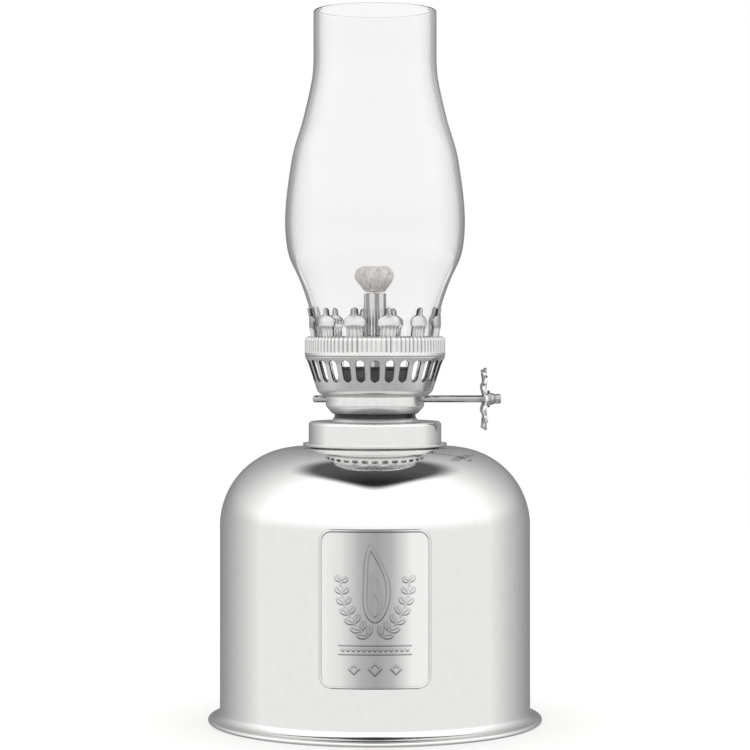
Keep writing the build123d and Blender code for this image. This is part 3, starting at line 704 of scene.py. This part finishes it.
class LAMP_OT_cap(bpy.types.Operator):
    """Turn the screw cap: flat top, round edge, upright wall and a flange that turns up"""
    bl_idname = "lamp.cap"
    bl_label = "Screw cap"

    def execute(self, context):
        sizes = context.scene.lamp_burner
        bottom, top = low("screw_cap").z, high("screw_cap").z
        edge = high("screw_cap").x
        hole = high("wick_tube").x + SOLDER_GAP
        wall = sizes.cap_radius
        outside = rounded_path(
            [(hole, top), (wall, top), (wall, bottom + 0.75 * MM),
             (edge - 0.45 * MM, bottom + 0.75 * MM), (edge - 0.1 * MM, bottom + 1.15 * MM)],
            [sizes.cap_corner, 0.25 * MM, 0.3 * MM])
        lip = rounded_path(
            [(edge - 0.1 * MM, bottom + 1.15 * MM), (edge, bottom + 0.95 * MM),
             (edge - 0.25 * MM, bottom), (wall - sizes.cap_sheet, bottom),
             (wall - sizes.cap_sheet, top - sizes.cap_sheet), (hole, top - sizes.cap_sheet)],
            [0.15 * MM, 0.5 * MM, 0.2 * MM, 0.6 * MM])
        loop = np.vstack([outside, lip[1:]])
        cap = spun("cap", loop, "burner", "buffed_nickel", columns=192)
        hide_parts("screw_cap")
        return {"FINISHED"}


class LAMP_OT_housing(bpy.types.Operator):
    """Turn the burner's flared stub and the winder housing above it"""
    bl_idname = "lamp.housing"
    bl_label = "Stub and housing"

    def execute(self, context):
        sizes = context.scene.lamp_burner
        bottom, top = low("burner_foot").z, high("burner_foot").z
        path = rounded_path([(sizes.stub_radius + sizes.stub_flare, bottom),
                             (sizes.stub_radius, bottom + 1.4 * MM), (sizes.stub_radius, top)],
                            [1.5 * MM])
        loop = sheet_loop(path, sizes.sheet)
        # Painted shade in the gap under the housing: the stub darkens as it rises into the gap, and
        # the housing along its foot
        dark = soft_step(loop[:, 1] - bottom - 0.7 * MM, 0.5 * MM)
        stub = spun("stub", loop, "burner", "pressed_nickel", 128, painted_shade_and_tone=dark)
        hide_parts("burner_foot")
        bottom, top = low("winder_housing").z, high("winder_housing").z
        radius = high("winder_housing").x
        hole = high("wick_tube").x + SOLDER_GAP
        path = rounded_path([(hole, bottom), (sizes.stub_radius + 0.6 * MM, bottom),
                             (radius, bottom + 2.6 * MM), (radius, top - 0.55 * MM),
                             (radius - 0.2 * MM, top - 0.3 * MM), (radius - 0.05 * MM, top)],
                            [1.0 * MM, 1.8 * MM, 0.2 * MM, 0.1 * MM])
        loop = sheet_loop(path, sizes.sheet)
        # Painted shade along the housing's foot, over the gap
        dark = 0.85 * (1 - soft_step(loop[:, 1] - bottom - 0.1 * MM, 0.8 * MM))
        housing = spun("housing", loop, "burner", "pressed_nickel", painted_shade_and_tone=dark)
        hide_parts("winder_housing")
        return {"FINISHED"}


def slot_sector(half_width, rise, slot_half, slot_rise, per_side, rings):
    """Grid of one sector of a pierced band, from its square border in to a round-ended slot.

    Points on the border's short sides go to the slot's round ends, at an angle that follows
    their place on the side. Points on its long sides go to the slot's straight sides.
    """
    straight = slot_rise - slot_half
    short = np.linspace(-1, 1, per_side + 1)[:-1]
    tall = np.linspace(-1, 1, 3 * per_side + 1)[:-1]
    foot = np.column_stack([short, np.full_like(short, -1)])
    right = np.column_stack([np.ones_like(tall), tall])
    border = np.vstack([foot, right, -foot, -right]) * [half_width, rise]
    bend = short * pi / 2
    end = np.column_stack([slot_half * np.sin(bend), -straight - slot_half * np.cos(bend)])
    side = np.column_stack([np.full_like(tall, slot_half), tall * straight])
    slot = np.vstack([end, side, -end, -side])
    share = np.linspace(0, 1, rings)[:, None, None]
    return border * (1 - share) + slot * share


class LAMP_OT_basket(bpy.types.Operator):
    """Press the flared air basket and pierce its ring of upright slots"""
    bl_idname = "lamp.basket"
    bl_label = "Air basket"

    def execute(self, context):
        sizes = context.scene.lamp_burner
        bottom, top = low("air_basket").z, high("air_basket").z
        path = rounded_path([(sizes.basket_hole, bottom), (sizes.basket_floor, bottom),
                             (sizes.basket_side, top - sizes.basket_flare),
                             (high("air_basket").x, top)], [3.0 * MM, 4.0 * MM])
        heights, radii = path[:, 1], path[:, 0]
        slot_low = bottom + sizes.slot_base
        slot_high = slot_low + sizes.slot_height
        margin = 0.5 * MM
        band_low, band_high = slot_low - margin, slot_high + margin
        per_side = 8
        columns = sizes.slots * per_side
        angle = (np.arange(columns) / per_side - 0.5) * 2 * pi / sizes.slots - pi / 2
        points, faces, shades, base = [], [], [], 0

        def add_rows(rows):
            nonlocal base
            shades.append(np.zeros(len(rows) * columns))
            grid = round_axis(rows[:, :1], angle, rows[:, 1:])
            points.append(grid.reshape(-1, 3))
            faces.append(grid_faces(len(rows), columns, False, True) + base)
            base += grid.size // 3

        below = path[heights < band_low - 1e-6]
        foot = np.interp(band_low, heights[1:], radii[1:])
        add_rows(np.vstack([below, [[foot, band_low]]]))
        above = path[heights > band_high + 1e-6]
        head = np.interp(band_high, heights[1:], radii[1:])
        add_rows(np.vstack([[[head, band_high]], above]))
        half = pi / sizes.slots
        middle_z = (band_low + band_high) / 2
        rise = (band_high - band_low) / 2
        middle_r = np.interp(middle_z, heights[1:], radii[1:])
        sector = slot_sector(half * middle_r, rise, sizes.slot_width / 2, sizes.slot_height / 2,
                             per_side, 5) / [middle_r, 1]
        rings, count = sector.shape[:2]
        for k in range(sizes.slots):
            turn = sector[..., 0] + k * 2 * half - pi / 2
            z = sector[..., 1] + middle_z
            radius = np.interp(z, heights[1:], radii[1:])
            grid = round_axis(radius, turn, z)
            points.append(grid.reshape(-1, 3))
            faces.append(grid_faces(rings, count, False, True) + base)
            # Darker at the cut edge round each slot
            shades.append(np.repeat([0, 0, 0, 0, 1.0], count))
            base += rings * count
        basket = make_piece("basket", np.vstack(points), np.vstack(faces), "burner",
                            "pressed_nickel", painted_shade_and_tone=np.concatenate(shades))
        wall = basket.modifiers.new("Sheet", "SOLIDIFY")
        wall.thickness = sizes.sheet
        wall.offset = -1
        edge = basket.modifiers.new("Edge", "BEVEL")
        edge.width = 0.12 * MM
        edge.segments = 2
        edge.limit_method = "ANGLE"
        edge.angle_limit = radians(60)
        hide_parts("air_basket")
        return {"FINISHED"}


class LAMP_OT_crown(bpy.types.Operator):
    """Pleat the gallery ring and curl the prongs that hold the glass"""
    bl_idname = "lamp.crown"
    bl_label = "Gallery crown"

    def execute(self, context):
        sizes = context.scene.lamp_crown
        sheet = context.scene.lamp_burner.sheet
        bottom, top = low("gallery_crown").z, high("gallery_crown").z
        shoulder = bottom + sizes.ring_height
        outer, root = sizes.ring_radius, sizes.root_radius
        chance = np.random.default_rng(7)
        # Pleated ring: the radius falls in a row of uneven flutes, with a plain lip at the foot
        path = rounded_path([(outer, bottom), (outer, shoulder), (root - sheet, shoulder)],
                            [1.5 * MM], 14)
        path = even_path(path, 40)
        columns = 1440
        turn = np.arange(columns) / columns
        bends = np.cumsum(chance.normal(0, 0.10, sizes.pleats))
        bends -= np.linspace(0, bends[-1], sizes.pleats)
        wander = np.interp(turn, np.linspace(0, 1, sizes.pleats), bends)
        phase = turn * sizes.pleats + wander
        depth = np.interp(turn, np.linspace(0, 1, sizes.pleats + 1)[:-1],
                          chance.uniform(0.55, 1.0, sizes.pleats), period=1)
        flute = (0.5 - 0.5 * np.cos(2 * pi * phase)) ** 1.6 * depth
        rise = (path[:, 1] - bottom)[:, None]
        fade = soft_step(rise - 0.7 * MM, 0.6 * MM)
        loop = sheet_loop(path, sheet)
        ripple = -flute[None] * fade * sizes.pleat_depth
        ripple = np.vstack([ripple, ripple[::-1]])
        points, faces = turned(loop, columns, True, ripple)
        # Darker in the hollows of the pleats
        dark = 0.6 * flute[None] ** 1.5 * fade
        shades = [np.vstack([dark, dark[::-1]]).ravel()]
        all_points, all_faces, base = [points], [faces], len(points)
        # Prongs: pleated root, round shoulders and a narrow head that curls out, all uneven
        foot, tip = shoulder - 0.45 * MM, top - 0.1 * MM
        curl = rounded_path([(root, foot), (sizes.waist_radius, shoulder + sizes.waist_rise),
                             (high("gallery_crown").x - 0.3 * MM, tip)], [4.0 * MM], 16)
        curl = even_path(curl, 44)
        rows, across = len(curl), 21
        share = np.linspace(0, 1, rows)[:, None]
        side = np.linspace(-1, 1, across)[None, :]
        knots = [0.0, 0.26, 0.36, 0.44, 0.54, 0.63, 0.71, 0.78, 0.86, 0.93, 0.975, 1.0]
        widths = [2.9, 2.9, 3.3, 3.75, 3.8, 3.45, 2.3, 1.35, 1.3, 1.25, 0.9, 0.25]
        half = smooth_path(np.column_stack([np.array(widths) * MM, knots]), rows)[:, :1]
        for k in range(sizes.prongs):
            facing = sizes.phase + 2 * pi * k / sizes.prongs - pi / 2
            uneven = [0.3 * MM, 0.3 * MM, 0.04, 0.5]
            lean, bend, twist, crumple = chance.normal(0, 1, 4) * uneven
            x = side * half * (1 + 0.06 * crumple * np.sin(5 * share + k)) + lean * share**3
            reach = curl[:, :1] - np.abs(bend) * share**4 + twist * x
            reach = reach + 0.2 * MM * np.sin(pi * np.clip((share - 0.2) / 0.5, 0, 1)) ** 2
            groove = (0.5 - 0.5 * np.cos(2 * pi * (x / (1.3 * MM) + chance.uniform()))) ** 0.8
            reach = reach - groove * (1 - soft_step(share - 0.30, 0.12)) * 0.45 * MM
            # The shoulders cup round the glass and the head is pinched into a rib
            reach = reach - 0.35 * MM * side**2 * soft_step(share - 0.3, 0.2)
            reach = reach - 0.5 * MM * side**2 * soft_step(share - 0.72, 0.12)
            reach = reach + 0.1 * MM * crumple * np.sin(9 * share + 2.5 * side + k)
            z = curl[:, 1:] - 0.25 * MM * np.abs(crumple) * side**2 * share
            angle = facing + x / curl[:, :1]
            along = np.gradient(curl, axis=0)
            along /= np.linalg.norm(along, axis=1)[:, None]
            front = round_axis(reach, angle, z)
            rear = round_axis(reach - sheet * along[:, 1:], angle, z + sheet * along[:, :1])
            count = rows * across
            quads = grid_faces(rows, across)
            rim = np.concatenate([np.arange(across), np.arange(1, rows) * across + across - 1,
                                  (rows - 1) * across + np.arange(across - 2, -1, -1),
                                  np.arange(rows - 2, 0, -1) * across])
            after = np.roll(rim, -1)
            sides = np.column_stack([rim, rim + count, after + count, after])
            all_points += [front.reshape(-1, 3), rear.reshape(-1, 3)]
            # Darker in the grooves and at the cut edges, and painted shade on the sides of the
            # curled heads
            dark = 0.35 * groove**1.5 * (1 - soft_step(share - 0.30, 0.12)) + 0.5 * side**8
            dark = dark + 0.9 * soft_step(share - 0.70, 0.05) * np.abs(side) ** 0.7
            shades += [np.clip(dark, 0, 1).ravel()] * 2
            all_faces.append(np.vstack([quads, quads[:, ::-1] + count, sides]) + base)
            base += 2 * count
        crown = make_piece("crown", np.vstack(all_points), np.vstack(all_faces), "burner",
                           "pressed_nickel", sharp=60,
                           painted_shade_and_tone=np.concatenate(shades))
        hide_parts("gallery_crown")
        return {"FINISHED"}


class LAMP_OT_wick(bpy.types.Operator):
    """Tease out the loose head of the wick: a lobed mushroom covered in fine strands"""
    bl_idname = "lamp.wick"
    bl_label = "Wick head"

    def execute(self, context):
        sizes = context.scene.lamp_wick
        bottom, top = low("wick_tuft").z, high("wick_tuft").z
        widest = high("wick_tuft").x
        height = top - bottom
        chance = np.random.default_rng(21)
        rows, columns = 80, 160
        path = tuft_outline(bottom, height, widest * 0.96, sizes.neck_radius, rows)
        turn = np.arange(columns) * 2 * pi / columns
        rise = (path[:, 1:] - bottom) / height
        body = path[:, :1] * tuft_lobes(turn[None, :], rise)
        points = [round_axis(body, turn, path[:, 1:]).reshape(-1, 3)]
        faces = [grid_faces(rows, columns, False, True)]
        # Strands: each follows the outline from the neck over the top, and strays a little
        count, steps, around = sizes.strands, 10, 4
        share = np.linspace(0, 1, steps)[None, :]
        start = chance.uniform(0, 0.35, (count, 1))
        reach = start + (chance.uniform(0.5, 0.98, (count, 1)) - start) * share
        radius = np.interp(reach, np.linspace(0, 1, rows), path[:, 0])
        level = np.interp(reach, np.linspace(0, 1, rows), path[:, 1])
        facing = chance.uniform(0, 2 * pi, (count, 1))
        stray = chance.normal(0, 1, (count, 4, 1))
        bearing = facing + 0.2 * stray[:, 0] * share + 0.1 * np.sin(7 * share + 3 * stray[:, 1])
        radius = radius * tuft_lobes(bearing, (level - bottom) / height)
        radius += (0.1 + 0.3 * share * stray[:, 2] ** 2 / 3) * MM
        radius = np.minimum(radius, widest * 0.985)
        level = np.minimum(level + 0.16 * MM * stray[:, 3] * share, top - 0.1 * MM)
        middle = round_axis(radius, bearing, level)
        along = np.gradient(middle, axis=1)
        along /= np.linalg.norm(along, axis=-1)[..., None]
        across = np.cross(along, [0.0, 0.0, 1.0])
        across /= np.linalg.norm(across, axis=-1)[..., None] + 1e-9
        third = np.cross(along, across)
        spin = np.arange(around) * 2 * pi / around
        taper = np.sin(pi * np.clip(share, 0.002, 0.998)) ** 0.4
        thick = sizes.strand_radius * taper[..., None, None]
        tube = middle[:, :, None] + thick * (across[:, :, None] * np.cos(spin)[:, None]
                                             + third[:, :, None] * np.sin(spin)[:, None])
        points.append(tube.reshape(-1, 3))
        one = grid_faces(steps, around, False, True)
        caps = np.array([[0, 1, 2, 3], [3, 2, 1, 0]]) + [[0], [(steps - 1) * around]]
        one = np.vstack([one, caps])
        first = rows * columns + np.arange(count)[:, None, None] * steps * around
        faces.append((one + first).reshape(-1, 4))
        # Strands differ in tone, most of all near the neck, and the body under them is painted
        # darker as the shade in the gaps between strands
        neck = np.clip(1 - 2.2 * share, 0, 1)
        shade = chance.uniform(0, 0.3, (count, 1))
        shade = shade + 0.9 * neck * (chance.uniform(size=(count, 1)) > 0.8)
        shades = np.concatenate([np.full(rows * columns, 0.3), np.repeat(shade.ravel(), around)])
        head = make_piece("wick_head", np.vstack(points), np.vstack(faces), "wick", "cotton_yarn",
                          sharp=180, painted_shade_and_tone=shades)
        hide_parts("wick_tuft")
        return {"FINISHED"}


def tuft_outline(bottom, height, widest, neck, rows):
    """Outline of the tuft: a neck, a flare and a low round top that closes on the axis."""
    t = np.linspace(0, 1, rows)
    rise = np.sin(t * pi / 2) ** 0.9
    flare = np.sin(np.clip(rise / 0.66, 0, 1) * pi / 2) ** 1.3
    radius = (neck + (widest - neck) * flare) * np.sqrt(np.clip(1 - t**3.4, 0, 1))
    radius[0], radius[-1] = 0.0, 0.0
    level = bottom + height * 0.975 * rise
    level[0] = bottom
    return np.column_stack([radius, level])


def tuft_lobes(turn, rise):
    """Uneven lobes and one deep crease round the tuft, as a factor on the radius."""
    lobes = np.ones_like(turn + rise)
    for count, phase, depth in ((2, 0.4, 0.03), (3, 2.1, 0.04), (9, 4.0, 0.035), (17, 1.2, 0.03)):
        lobes += depth * np.cos(count * turn + phase + 1.2 * rise) * soft_step(rise, 0.5)
    crease = np.exp(-((np.angle(np.exp(1j * (turn + 1.25))) + 0.1 * rise) / 0.13) ** 2)
    lobes -= 0.2 * crease * soft_step(rise - 0.1, 0.3) * (1 - soft_step(rise - 0.7, 0.25))
    return np.minimum(lobes / 1.08, 1.0)


class LAMP_OT_winder(bpy.types.Operator):
    """Make the winder's rod, its pierced wheel, the cone that clamps it and the nut at its end"""
    bl_idname = "lamp.winder"
    bl_label = "Winder"

    def execute(self, context):
        sizes = context.scene.lamp_winder
        rod_low, rod_high = low("winder_shaft"), high("winder_shaft")
        axis = (rod_low + rod_high) / 2

        def along_shaft(points):
            """Stands points made round the Z axis on the shaft's axis instead."""
            return np.column_stack([points[:, 2], axis.y + points[:, 0], axis.z + points[:, 1]])

        def turn_on_shaft(name, path, node, columns=48, ripple=None):
            points, faces = turned(path, columns, False, ripple)
            piece = make_piece(name, along_shaft(points), faces, "winder", "drawn_steel")
            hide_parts(node)

        radius = sizes.shaft_radius
        rod = rounded_path([(0, rod_low.x), (radius, rod_low.x), (radius, rod_high.x),
                            (0, rod_high.x)], [0.7 * radius, 0.2 * radius])
        turn_on_shaft("rod", rod, "winder_shaft")
        start, end = low("knob_hub").x, high("knob_hub").x
        wide, bore = high("knob_hub").z - axis.z, radius + SOLDER_GAP
        cone = rounded_path([(bore, start), (wide, start), (wide, start + 0.7 * MM),
                             (0.72 * wide, start + 1.0 * MM), (0.6 * wide, end), (bore, end)],
                            [0.25 * MM, 0.25 * MM, 0.3 * MM, 0.25 * MM], 6)
        turn_on_shaft("hub_cone", np.vstack([cone, cone[:1]]), "knob_hub", 64)
        start, end = low("knob_rivet").x, high("knob_rivet").x
        wide = high("knob_rivet").z - axis.z
        nut = rounded_path([(bore, start), (wide, start), (wide * 0.98, end), (bore, end)],
                           [0.3 * MM, 0.6 * MM], 8)
        angle = np.arange(72) * 2 * pi / 72
        petals = -0.16 * (1 - np.cos(6 * angle)) * (nut[:, :1] - bore)
        turn_on_shaft("flower_nut", np.vstack([nut, nut[:1]]), "knob_rivet", 72,
                      np.vstack([petals, petals[:1]]))
        self.wheel(sizes, axis, along_shaft, bore)
        return {"FINISHED"}

    def wheel(self, sizes, axis, along_shaft, bore):
        """The pierced wheel: a scalloped rim, long petals and small eyelets, stamped wavy."""
        start, end = low("winder_knob").x, high("winder_knob").x
        reach = high("winder_knob").z - axis.z
        turn = np.linspace(0, 2 * pi, 320, endpoint=False)
        lobe = np.abs(np.cos(sizes.lobes / 2 * turn)) ** 0.8
        scallop = reach * (0.925 + 0.075 * lobe)
        loops = [np.column_stack([scallop * np.cos(turn), scallop * np.sin(turn)])]
        ring = np.linspace(0, 2 * pi, 28, endpoint=False)
        long_way, short_way = np.cos(ring), np.sin(ring)

        def hole(at, centre, half_length, half_width, taper=0.0):
            """An oval along the spoke at an angle, in shares of the reach, thinner outwards."""
            out = np.array([np.cos(at), np.sin(at)])
            over = np.array([-out[1], out[0]])
            breadth = half_width * reach * short_way * (1 - taper * long_way)
            return out * (centre + half_length * long_way)[:, None] * reach + over * breadth[:, None]

        # A long petal on each spoke, with a large and a small eyelet between it and the next
        for k in range(sizes.petals):
            at = 2 * pi * k / sizes.petals
            between = at + pi / sizes.petals
            loops += [hole(at, 0.53, 0.21, 0.095, 0.35), hole(between, 0.76, 0.09, 0.1),
                      hole(between, 0.54, 0.045, 0.03)]
        loops.append(np.column_stack([bore * long_way, bore * short_way]))
        # Each outline is drawn in by the edge rounding on both faces of the sheet
        bands, faces, base, spans = [], [], 0, []
        depth = sizes.knob_sheet / 2
        for k, loop in enumerate(loops):
            along = np.roll(loop, -1, axis=0) - np.roll(loop, 1, axis=0)
            inward = np.column_stack([-along[:, 1], along[:, 0]])
            inward *= (1 if k == 0 else -1) * sizes.bevel / np.linalg.norm(inward, axis=1)[:, None]
            section = [(1.0, depth), (0.3, depth - 0.3 * sizes.bevel), (0.0, depth - sizes.bevel)]
            section += [(share, -height) for share, height in section[::-1]]
            rows = [np.column_stack([loop + inward * share, np.full(len(loop), height)])
                    for share, height in section]
            bands.append(np.vstack(rows))
            faces.append(grid_faces(len(section), len(loop), False, True) + base)
            spans.append(base + np.arange(len(loop)))
            base += len(section) * len(loop)
        points = np.vstack(bands)
        # The flat faces are filled between the drawn-in outlines, with holes left open
        front = np.concatenate(spans)
        edges, at = [], 0
        for span in spans:
            k = np.arange(len(span))
            edges.append(np.column_stack([at + k, at + (k + 1) % len(span)]))
            at += len(span)
        filled = delaunay_2d_cdt([Vector(p) for p in points[front, :2].tolist()],
                                 np.vstack(edges).tolist(), [], 4, 1e-7)
        source = np.array([same[0] for same in filled[3]])
        cap = front[source[np.array(filled[2])]]
        mates = np.concatenate([span + 5 * len(span) for span in spans])
        rear = mates[source[np.array(filled[2])]]
        faces = [part.tolist() for part in (*faces, cap, rear)]
        spread = np.hypot(points[:, 0], points[:, 1]) / reach
        facing = np.arctan2(points[:, 1], points[:, 0])
        wave = (end - start) / 2 - depth
        points[:, 2] += (start + end) / 2 + wave * spread**3 * np.cos(sizes.lobes / 2 * facing)
        wheel = make_piece("pierced_wheel", along_shaft(points), sum(faces, []), "winder",
                           "pressed_nickel", sharp=45)
        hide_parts("winder_knob")


class LAMP_OT_chimney(bpy.types.Operator):
    """Blow the glass chimney: a closed wall with a round belly and a fire-polished lip"""
    bl_idname = "lamp.chimney"
    bl_label = "Glass chimney"

    def execute(self, context):
        sizes = context.scene.lamp_glass
        bottom, top = low("chimney").z, high("chimney").z
        belly = high("chimney").x
        swell = belly - sizes.base_radius
        draw = belly - sizes.neck_radius
        drop = sizes.neck_rise - sizes.belly_rise
        lower = smooth_path([(sizes.base_radius, 0),
                             (sizes.base_radius + 0.08 * swell, 0.23 * sizes.belly_rise),
                             (sizes.base_radius + 0.42 * swell, 0.5 * sizes.belly_rise),
                             (belly - 0.08 * swell, 0.78 * sizes.belly_rise),
                             (belly, sizes.belly_rise)], 60)
        upper = smooth_path([(belly, sizes.belly_rise),
                             (belly - 0.24 * draw, sizes.belly_rise + 0.4 * drop),
                             (sizes.neck_radius + 0.33 * draw, sizes.belly_rise + 0.67 * drop),
                             (sizes.neck_radius, sizes.neck_rise)], 60)
        radii = np.vstack([lower, upper[1:], [[sizes.neck_radius, top - bottom]]])
        outer = even_path(radii, 150)
        blur = np.ones(9) / 9
        soft = np.convolve(np.pad(outer[:, 0], 4, mode="edge"), blur, "valid")
        outer = np.column_stack([soft, outer[:, 1] + bottom])
        inner = outer - [sizes.wall, 0]
        lip = sizes.wall / 2
        roll = np.linspace(0, pi, 12)[1:-1]
        upper_lip = np.column_stack([outer[-1, 0] - lip + lip * np.cos(roll),
                                     top - lip + lip * np.sin(roll)])
        lower_lip = np.column_stack([outer[0, 0] - lip - lip * np.cos(roll),
                                     bottom + lip - lip * np.sin(roll)])
        keep = (outer[:, 1] > bottom + lip) & (outer[:, 1] < top - lip)
        loop = np.vstack([outer[keep], upper_lip, inner[keep][::-1], lower_lip])
        glass = spun("glass_chimney", loop, "glass", "chimney_glass", 256)
        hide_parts("chimney")
        # Soft light meets the wick as if the glass weren't there, as clear glass hardly dims it
        glass.visible_diffuse = False
        return {"FINISHED"}


class LAMP_OT_stage(bpy.types.Operator):
    """Lay the floor, light the studio and place the camera"""
    bl_idname = "lamp.stage"
    bl_label = "Stage"

    def execute(self, context):
        scene = context.scene
        sizes = scene.lamp_stage
        scene.view_settings.view_transform = "Standard"
        tree = new_material("pale_floor")
        shader = add_node(tree, "ShaderNodeBsdfDiffuse", Color=sizes.floor)
        add_node(tree, "ShaderNodeOutputMaterial", Surface=shader.outputs[0])
        mesh = bpy.data.meshes.new("floor")
        reach = sizes.floor_reach
        mesh.from_pydata([(-reach, -reach, 0), (reach, -reach, 0), (reach, reach, 0),
                          (-reach, reach, 0)], [], [(0, 1, 2, 3)])
        mesh.materials.append(bpy.data.materials["pale_floor"])
        floor = bpy.data.objects.new("floor", mesh)
        scene.collection.objects.link(floor)
        # The plate mirrors the studio all round it, and not the floor's own edge
        floor.visible_glossy = False
        self.light_studio(scene)
        camera = bpy.data.cameras.new("camera")
        camera.lens = sizes.lens
        camera.sensor_width = 36.0
        camera.shift_y = sizes.shift
        camera.clip_start = 0.01
        holder = bpy.data.objects.new("camera", camera)
        holder.location = (0, -sizes.distance, sizes.height)
        holder.rotation_euler = (pi / 2, 0, 0)
        scene.collection.objects.link(holder)
        scene.camera = holder
        return {"FINISHED"}

    def light_studio(self, scene):
        """White surroundings for the eye, and a studio that only the metal and the glass mirror.

        Seen in a mirror, the studio is bright in front and at the sides, brightest above eye
        level, falls to grey behind the lamp, and has a dark opening overhead.
        """
        world = bpy.data.worlds.new("studio")
        world.use_nodes = True
        scene.world = world
        tree = world.node_tree
        tree.nodes.clear()
        way = add_node(tree, "ShaderNodeTexCoord").outputs["Generated"]
        axes = add_node(tree, "ShaderNodeSeparateXYZ", Vector=way)
        side, back, up = (axes.outputs[k] for k in "XYZ")
        smooth = {"interpolation_type": "SMOOTHSTEP"}
        # The wall: bright in front, grey behind, brighter above eye level and darker below
        fall = add_node(tree, "ShaderNodeMapRange", Value=back, i1=0.05, i2=1.0, i3=1.2, i4=0.26)
        lift = add_node(tree, "ShaderNodeMapRange", smooth, Value=up,
                        i1=0.02, i2=0.28, i3=1.0, i4=1.3)
        below = add_node(tree, "ShaderNodeMapRange", smooth, Value=up,
                         i1=-0.6, i2=-0.25, i3=0.5, i4=1.0)
        # The opening overhead: an ellipse that is wider behind, with a soft edge
        breadth = add_node(tree, "ShaderNodeMath", {"operation": "MULTIPLY_ADD"},
                           i0=back, i1=0.34, i2=0.40)
        across = add_node(tree, "ShaderNodeMath", {"operation": "DIVIDE"},
                          i0=side, i1=breadth.outputs[0])
        along = add_node(tree, "ShaderNodeMath", {"operation": "MULTIPLY_ADD"},
                         i0=back, i1=1 / 0.52, i2=-0.12 / 0.52)
        place = add_node(tree, "ShaderNodeCombineXYZ", X=across.outputs[0], Y=along.outputs[0])
        square = add_node(tree, "ShaderNodeVectorMath", {"operation": "DOT_PRODUCT"},
                          i0=place.outputs[0], i1=place.outputs[0])
        inside = add_node(tree, "ShaderNodeMapRange", smooth, Value=square.outputs["Value"],
                          i1=0.65, i2=1.25, i3=1.0, i4=0.0)
        overhead = add_node(tree, "ShaderNodeMapRange", smooth, Value=up,
                            i1=0.3, i2=0.5, i3=0.0, i4=1.0)
        depth = add_node(tree, "ShaderNodeMapRange", smooth, Value=back,
                         i1=-0.35, i2=0.3, i3=0.01, i4=0.13)
        # What shows through the glass is dark at the sides of the front view, so that the wall
        # darkens where it bends the view aside. Low down and in front the surroundings stay
        # bright, for views from other sides.
        bright = 0.97
        ahead = add_node(tree, "ShaderNodeMapRange", smooth, Value=back,
                         i1=0.8, i2=0.99, i3=0.02, i4=bright)
        front = add_node(tree, "ShaderNodeMapRange", smooth, Value=back,
                         i1=0.0, i2=0.25, i3=bright, i4=0.0)
        floorward = add_node(tree, "ShaderNodeMapRange", smooth, Value=up,
                             i1=-0.2, i2=-0.1, i3=bright, i4=0.0)
        results = []
        for operation, parts in (("MULTIPLY", (fall, lift, below)),
                                 ("MULTIPLY", (inside, overhead)),
                                 ("MAXIMUM", (ahead, front, floorward))):
            value = parts[0].outputs[0]
            for part in parts[1:]:
                value = add_node(tree, "ShaderNodeMath", {"operation": operation},
                                 i0=value, i1=part.outputs[0]).outputs[0]
            results.append(value)
        wall, opening, through = results
        mirrored = add_node(tree, "ShaderNodeMix", {"data_type": "FLOAT"},
                            Factor=opening, A=wall, B=depth.outputs[0]).outputs[0]
        ray = add_node(tree, "ShaderNodeLightPath").outputs
        strength = through
        for kind, seen in (("Glossy Depth", mirrored), ("Diffuse Depth", 1.2),
                           ("Is Camera Ray", 1.0)):
            strength = add_node(tree, "ShaderNodeMix", {"data_type": "FLOAT"},
                                Factor=ray[kind], A=strength, B=seen).outputs[0]
        sky = add_node(tree, "ShaderNodeBackground", Color=(1, 1, 1, 1), Strength=strength)
        add_node(tree, "ShaderNodeOutputWorld", Surface=sky.outputs[0])
        # Without light sampling, each ray that leaves meets the surroundings meant for it
        world.cycles.sampling_method = "NONE"


class LAMP_PT_panel(bpy.types.Panel):
    """Lists the steps that make the lamp"""
    bl_label = "Oil lamp"
    bl_idname = "LAMP_PT_panel"
    bl_space_type = "VIEW_3D"
    bl_region_type = "UI"
    bl_category = "Oil lamp"

    def draw(self, context):
        for step in STEPS:
            self.layout.operator(step.bl_idname)


SETTINGS = {
    "lamp_finishes": LampFinishes, "lamp_reservoir": ReservoirSizes, "lamp_plaque": PlaqueSizes,
    "lamp_burner": BurnerSizes, "lamp_crown": CrownSizes, "lamp_wick": WickSizes,
    "lamp_winder": WinderSizes, "lamp_glass": GlassSizes, "lamp_stage": StageSizes,
}
STEPS = (LAMP_OT_finishes, LAMP_OT_stage, LAMP_OT_reservoir, LAMP_OT_plaque, LAMP_OT_cap,
         LAMP_OT_housing, LAMP_OT_basket, LAMP_OT_crown, LAMP_OT_wick,
         LAMP_OT_winder, LAMP_OT_chimney)


def register():
    for group in SETTINGS.values():
        bpy.utils.register_class(group)
    for step in STEPS:
        bpy.utils.register_class(step)
    bpy.utils.register_class(LAMP_PT_panel)
    for name, group in SETTINGS.items():
        setattr(bpy.types.Scene, name, bpy.props.PointerProperty(type=group))


def unregister():
    for name in SETTINGS:
        delattr(bpy.types.Scene, name)
    bpy.utils.unregister_class(LAMP_PT_panel)
    for step in reversed(STEPS):
        bpy.utils.unregister_class(step)
    for group in reversed(list(SETTINGS.values())):
        bpy.utils.unregister_class(group)


def main():
    register()
    for step in STEPS:
        group, call = step.bl_idname.split(".")
        getattr(getattr(bpy.ops, group), call)()


if __name__ == "__main__":
    main()
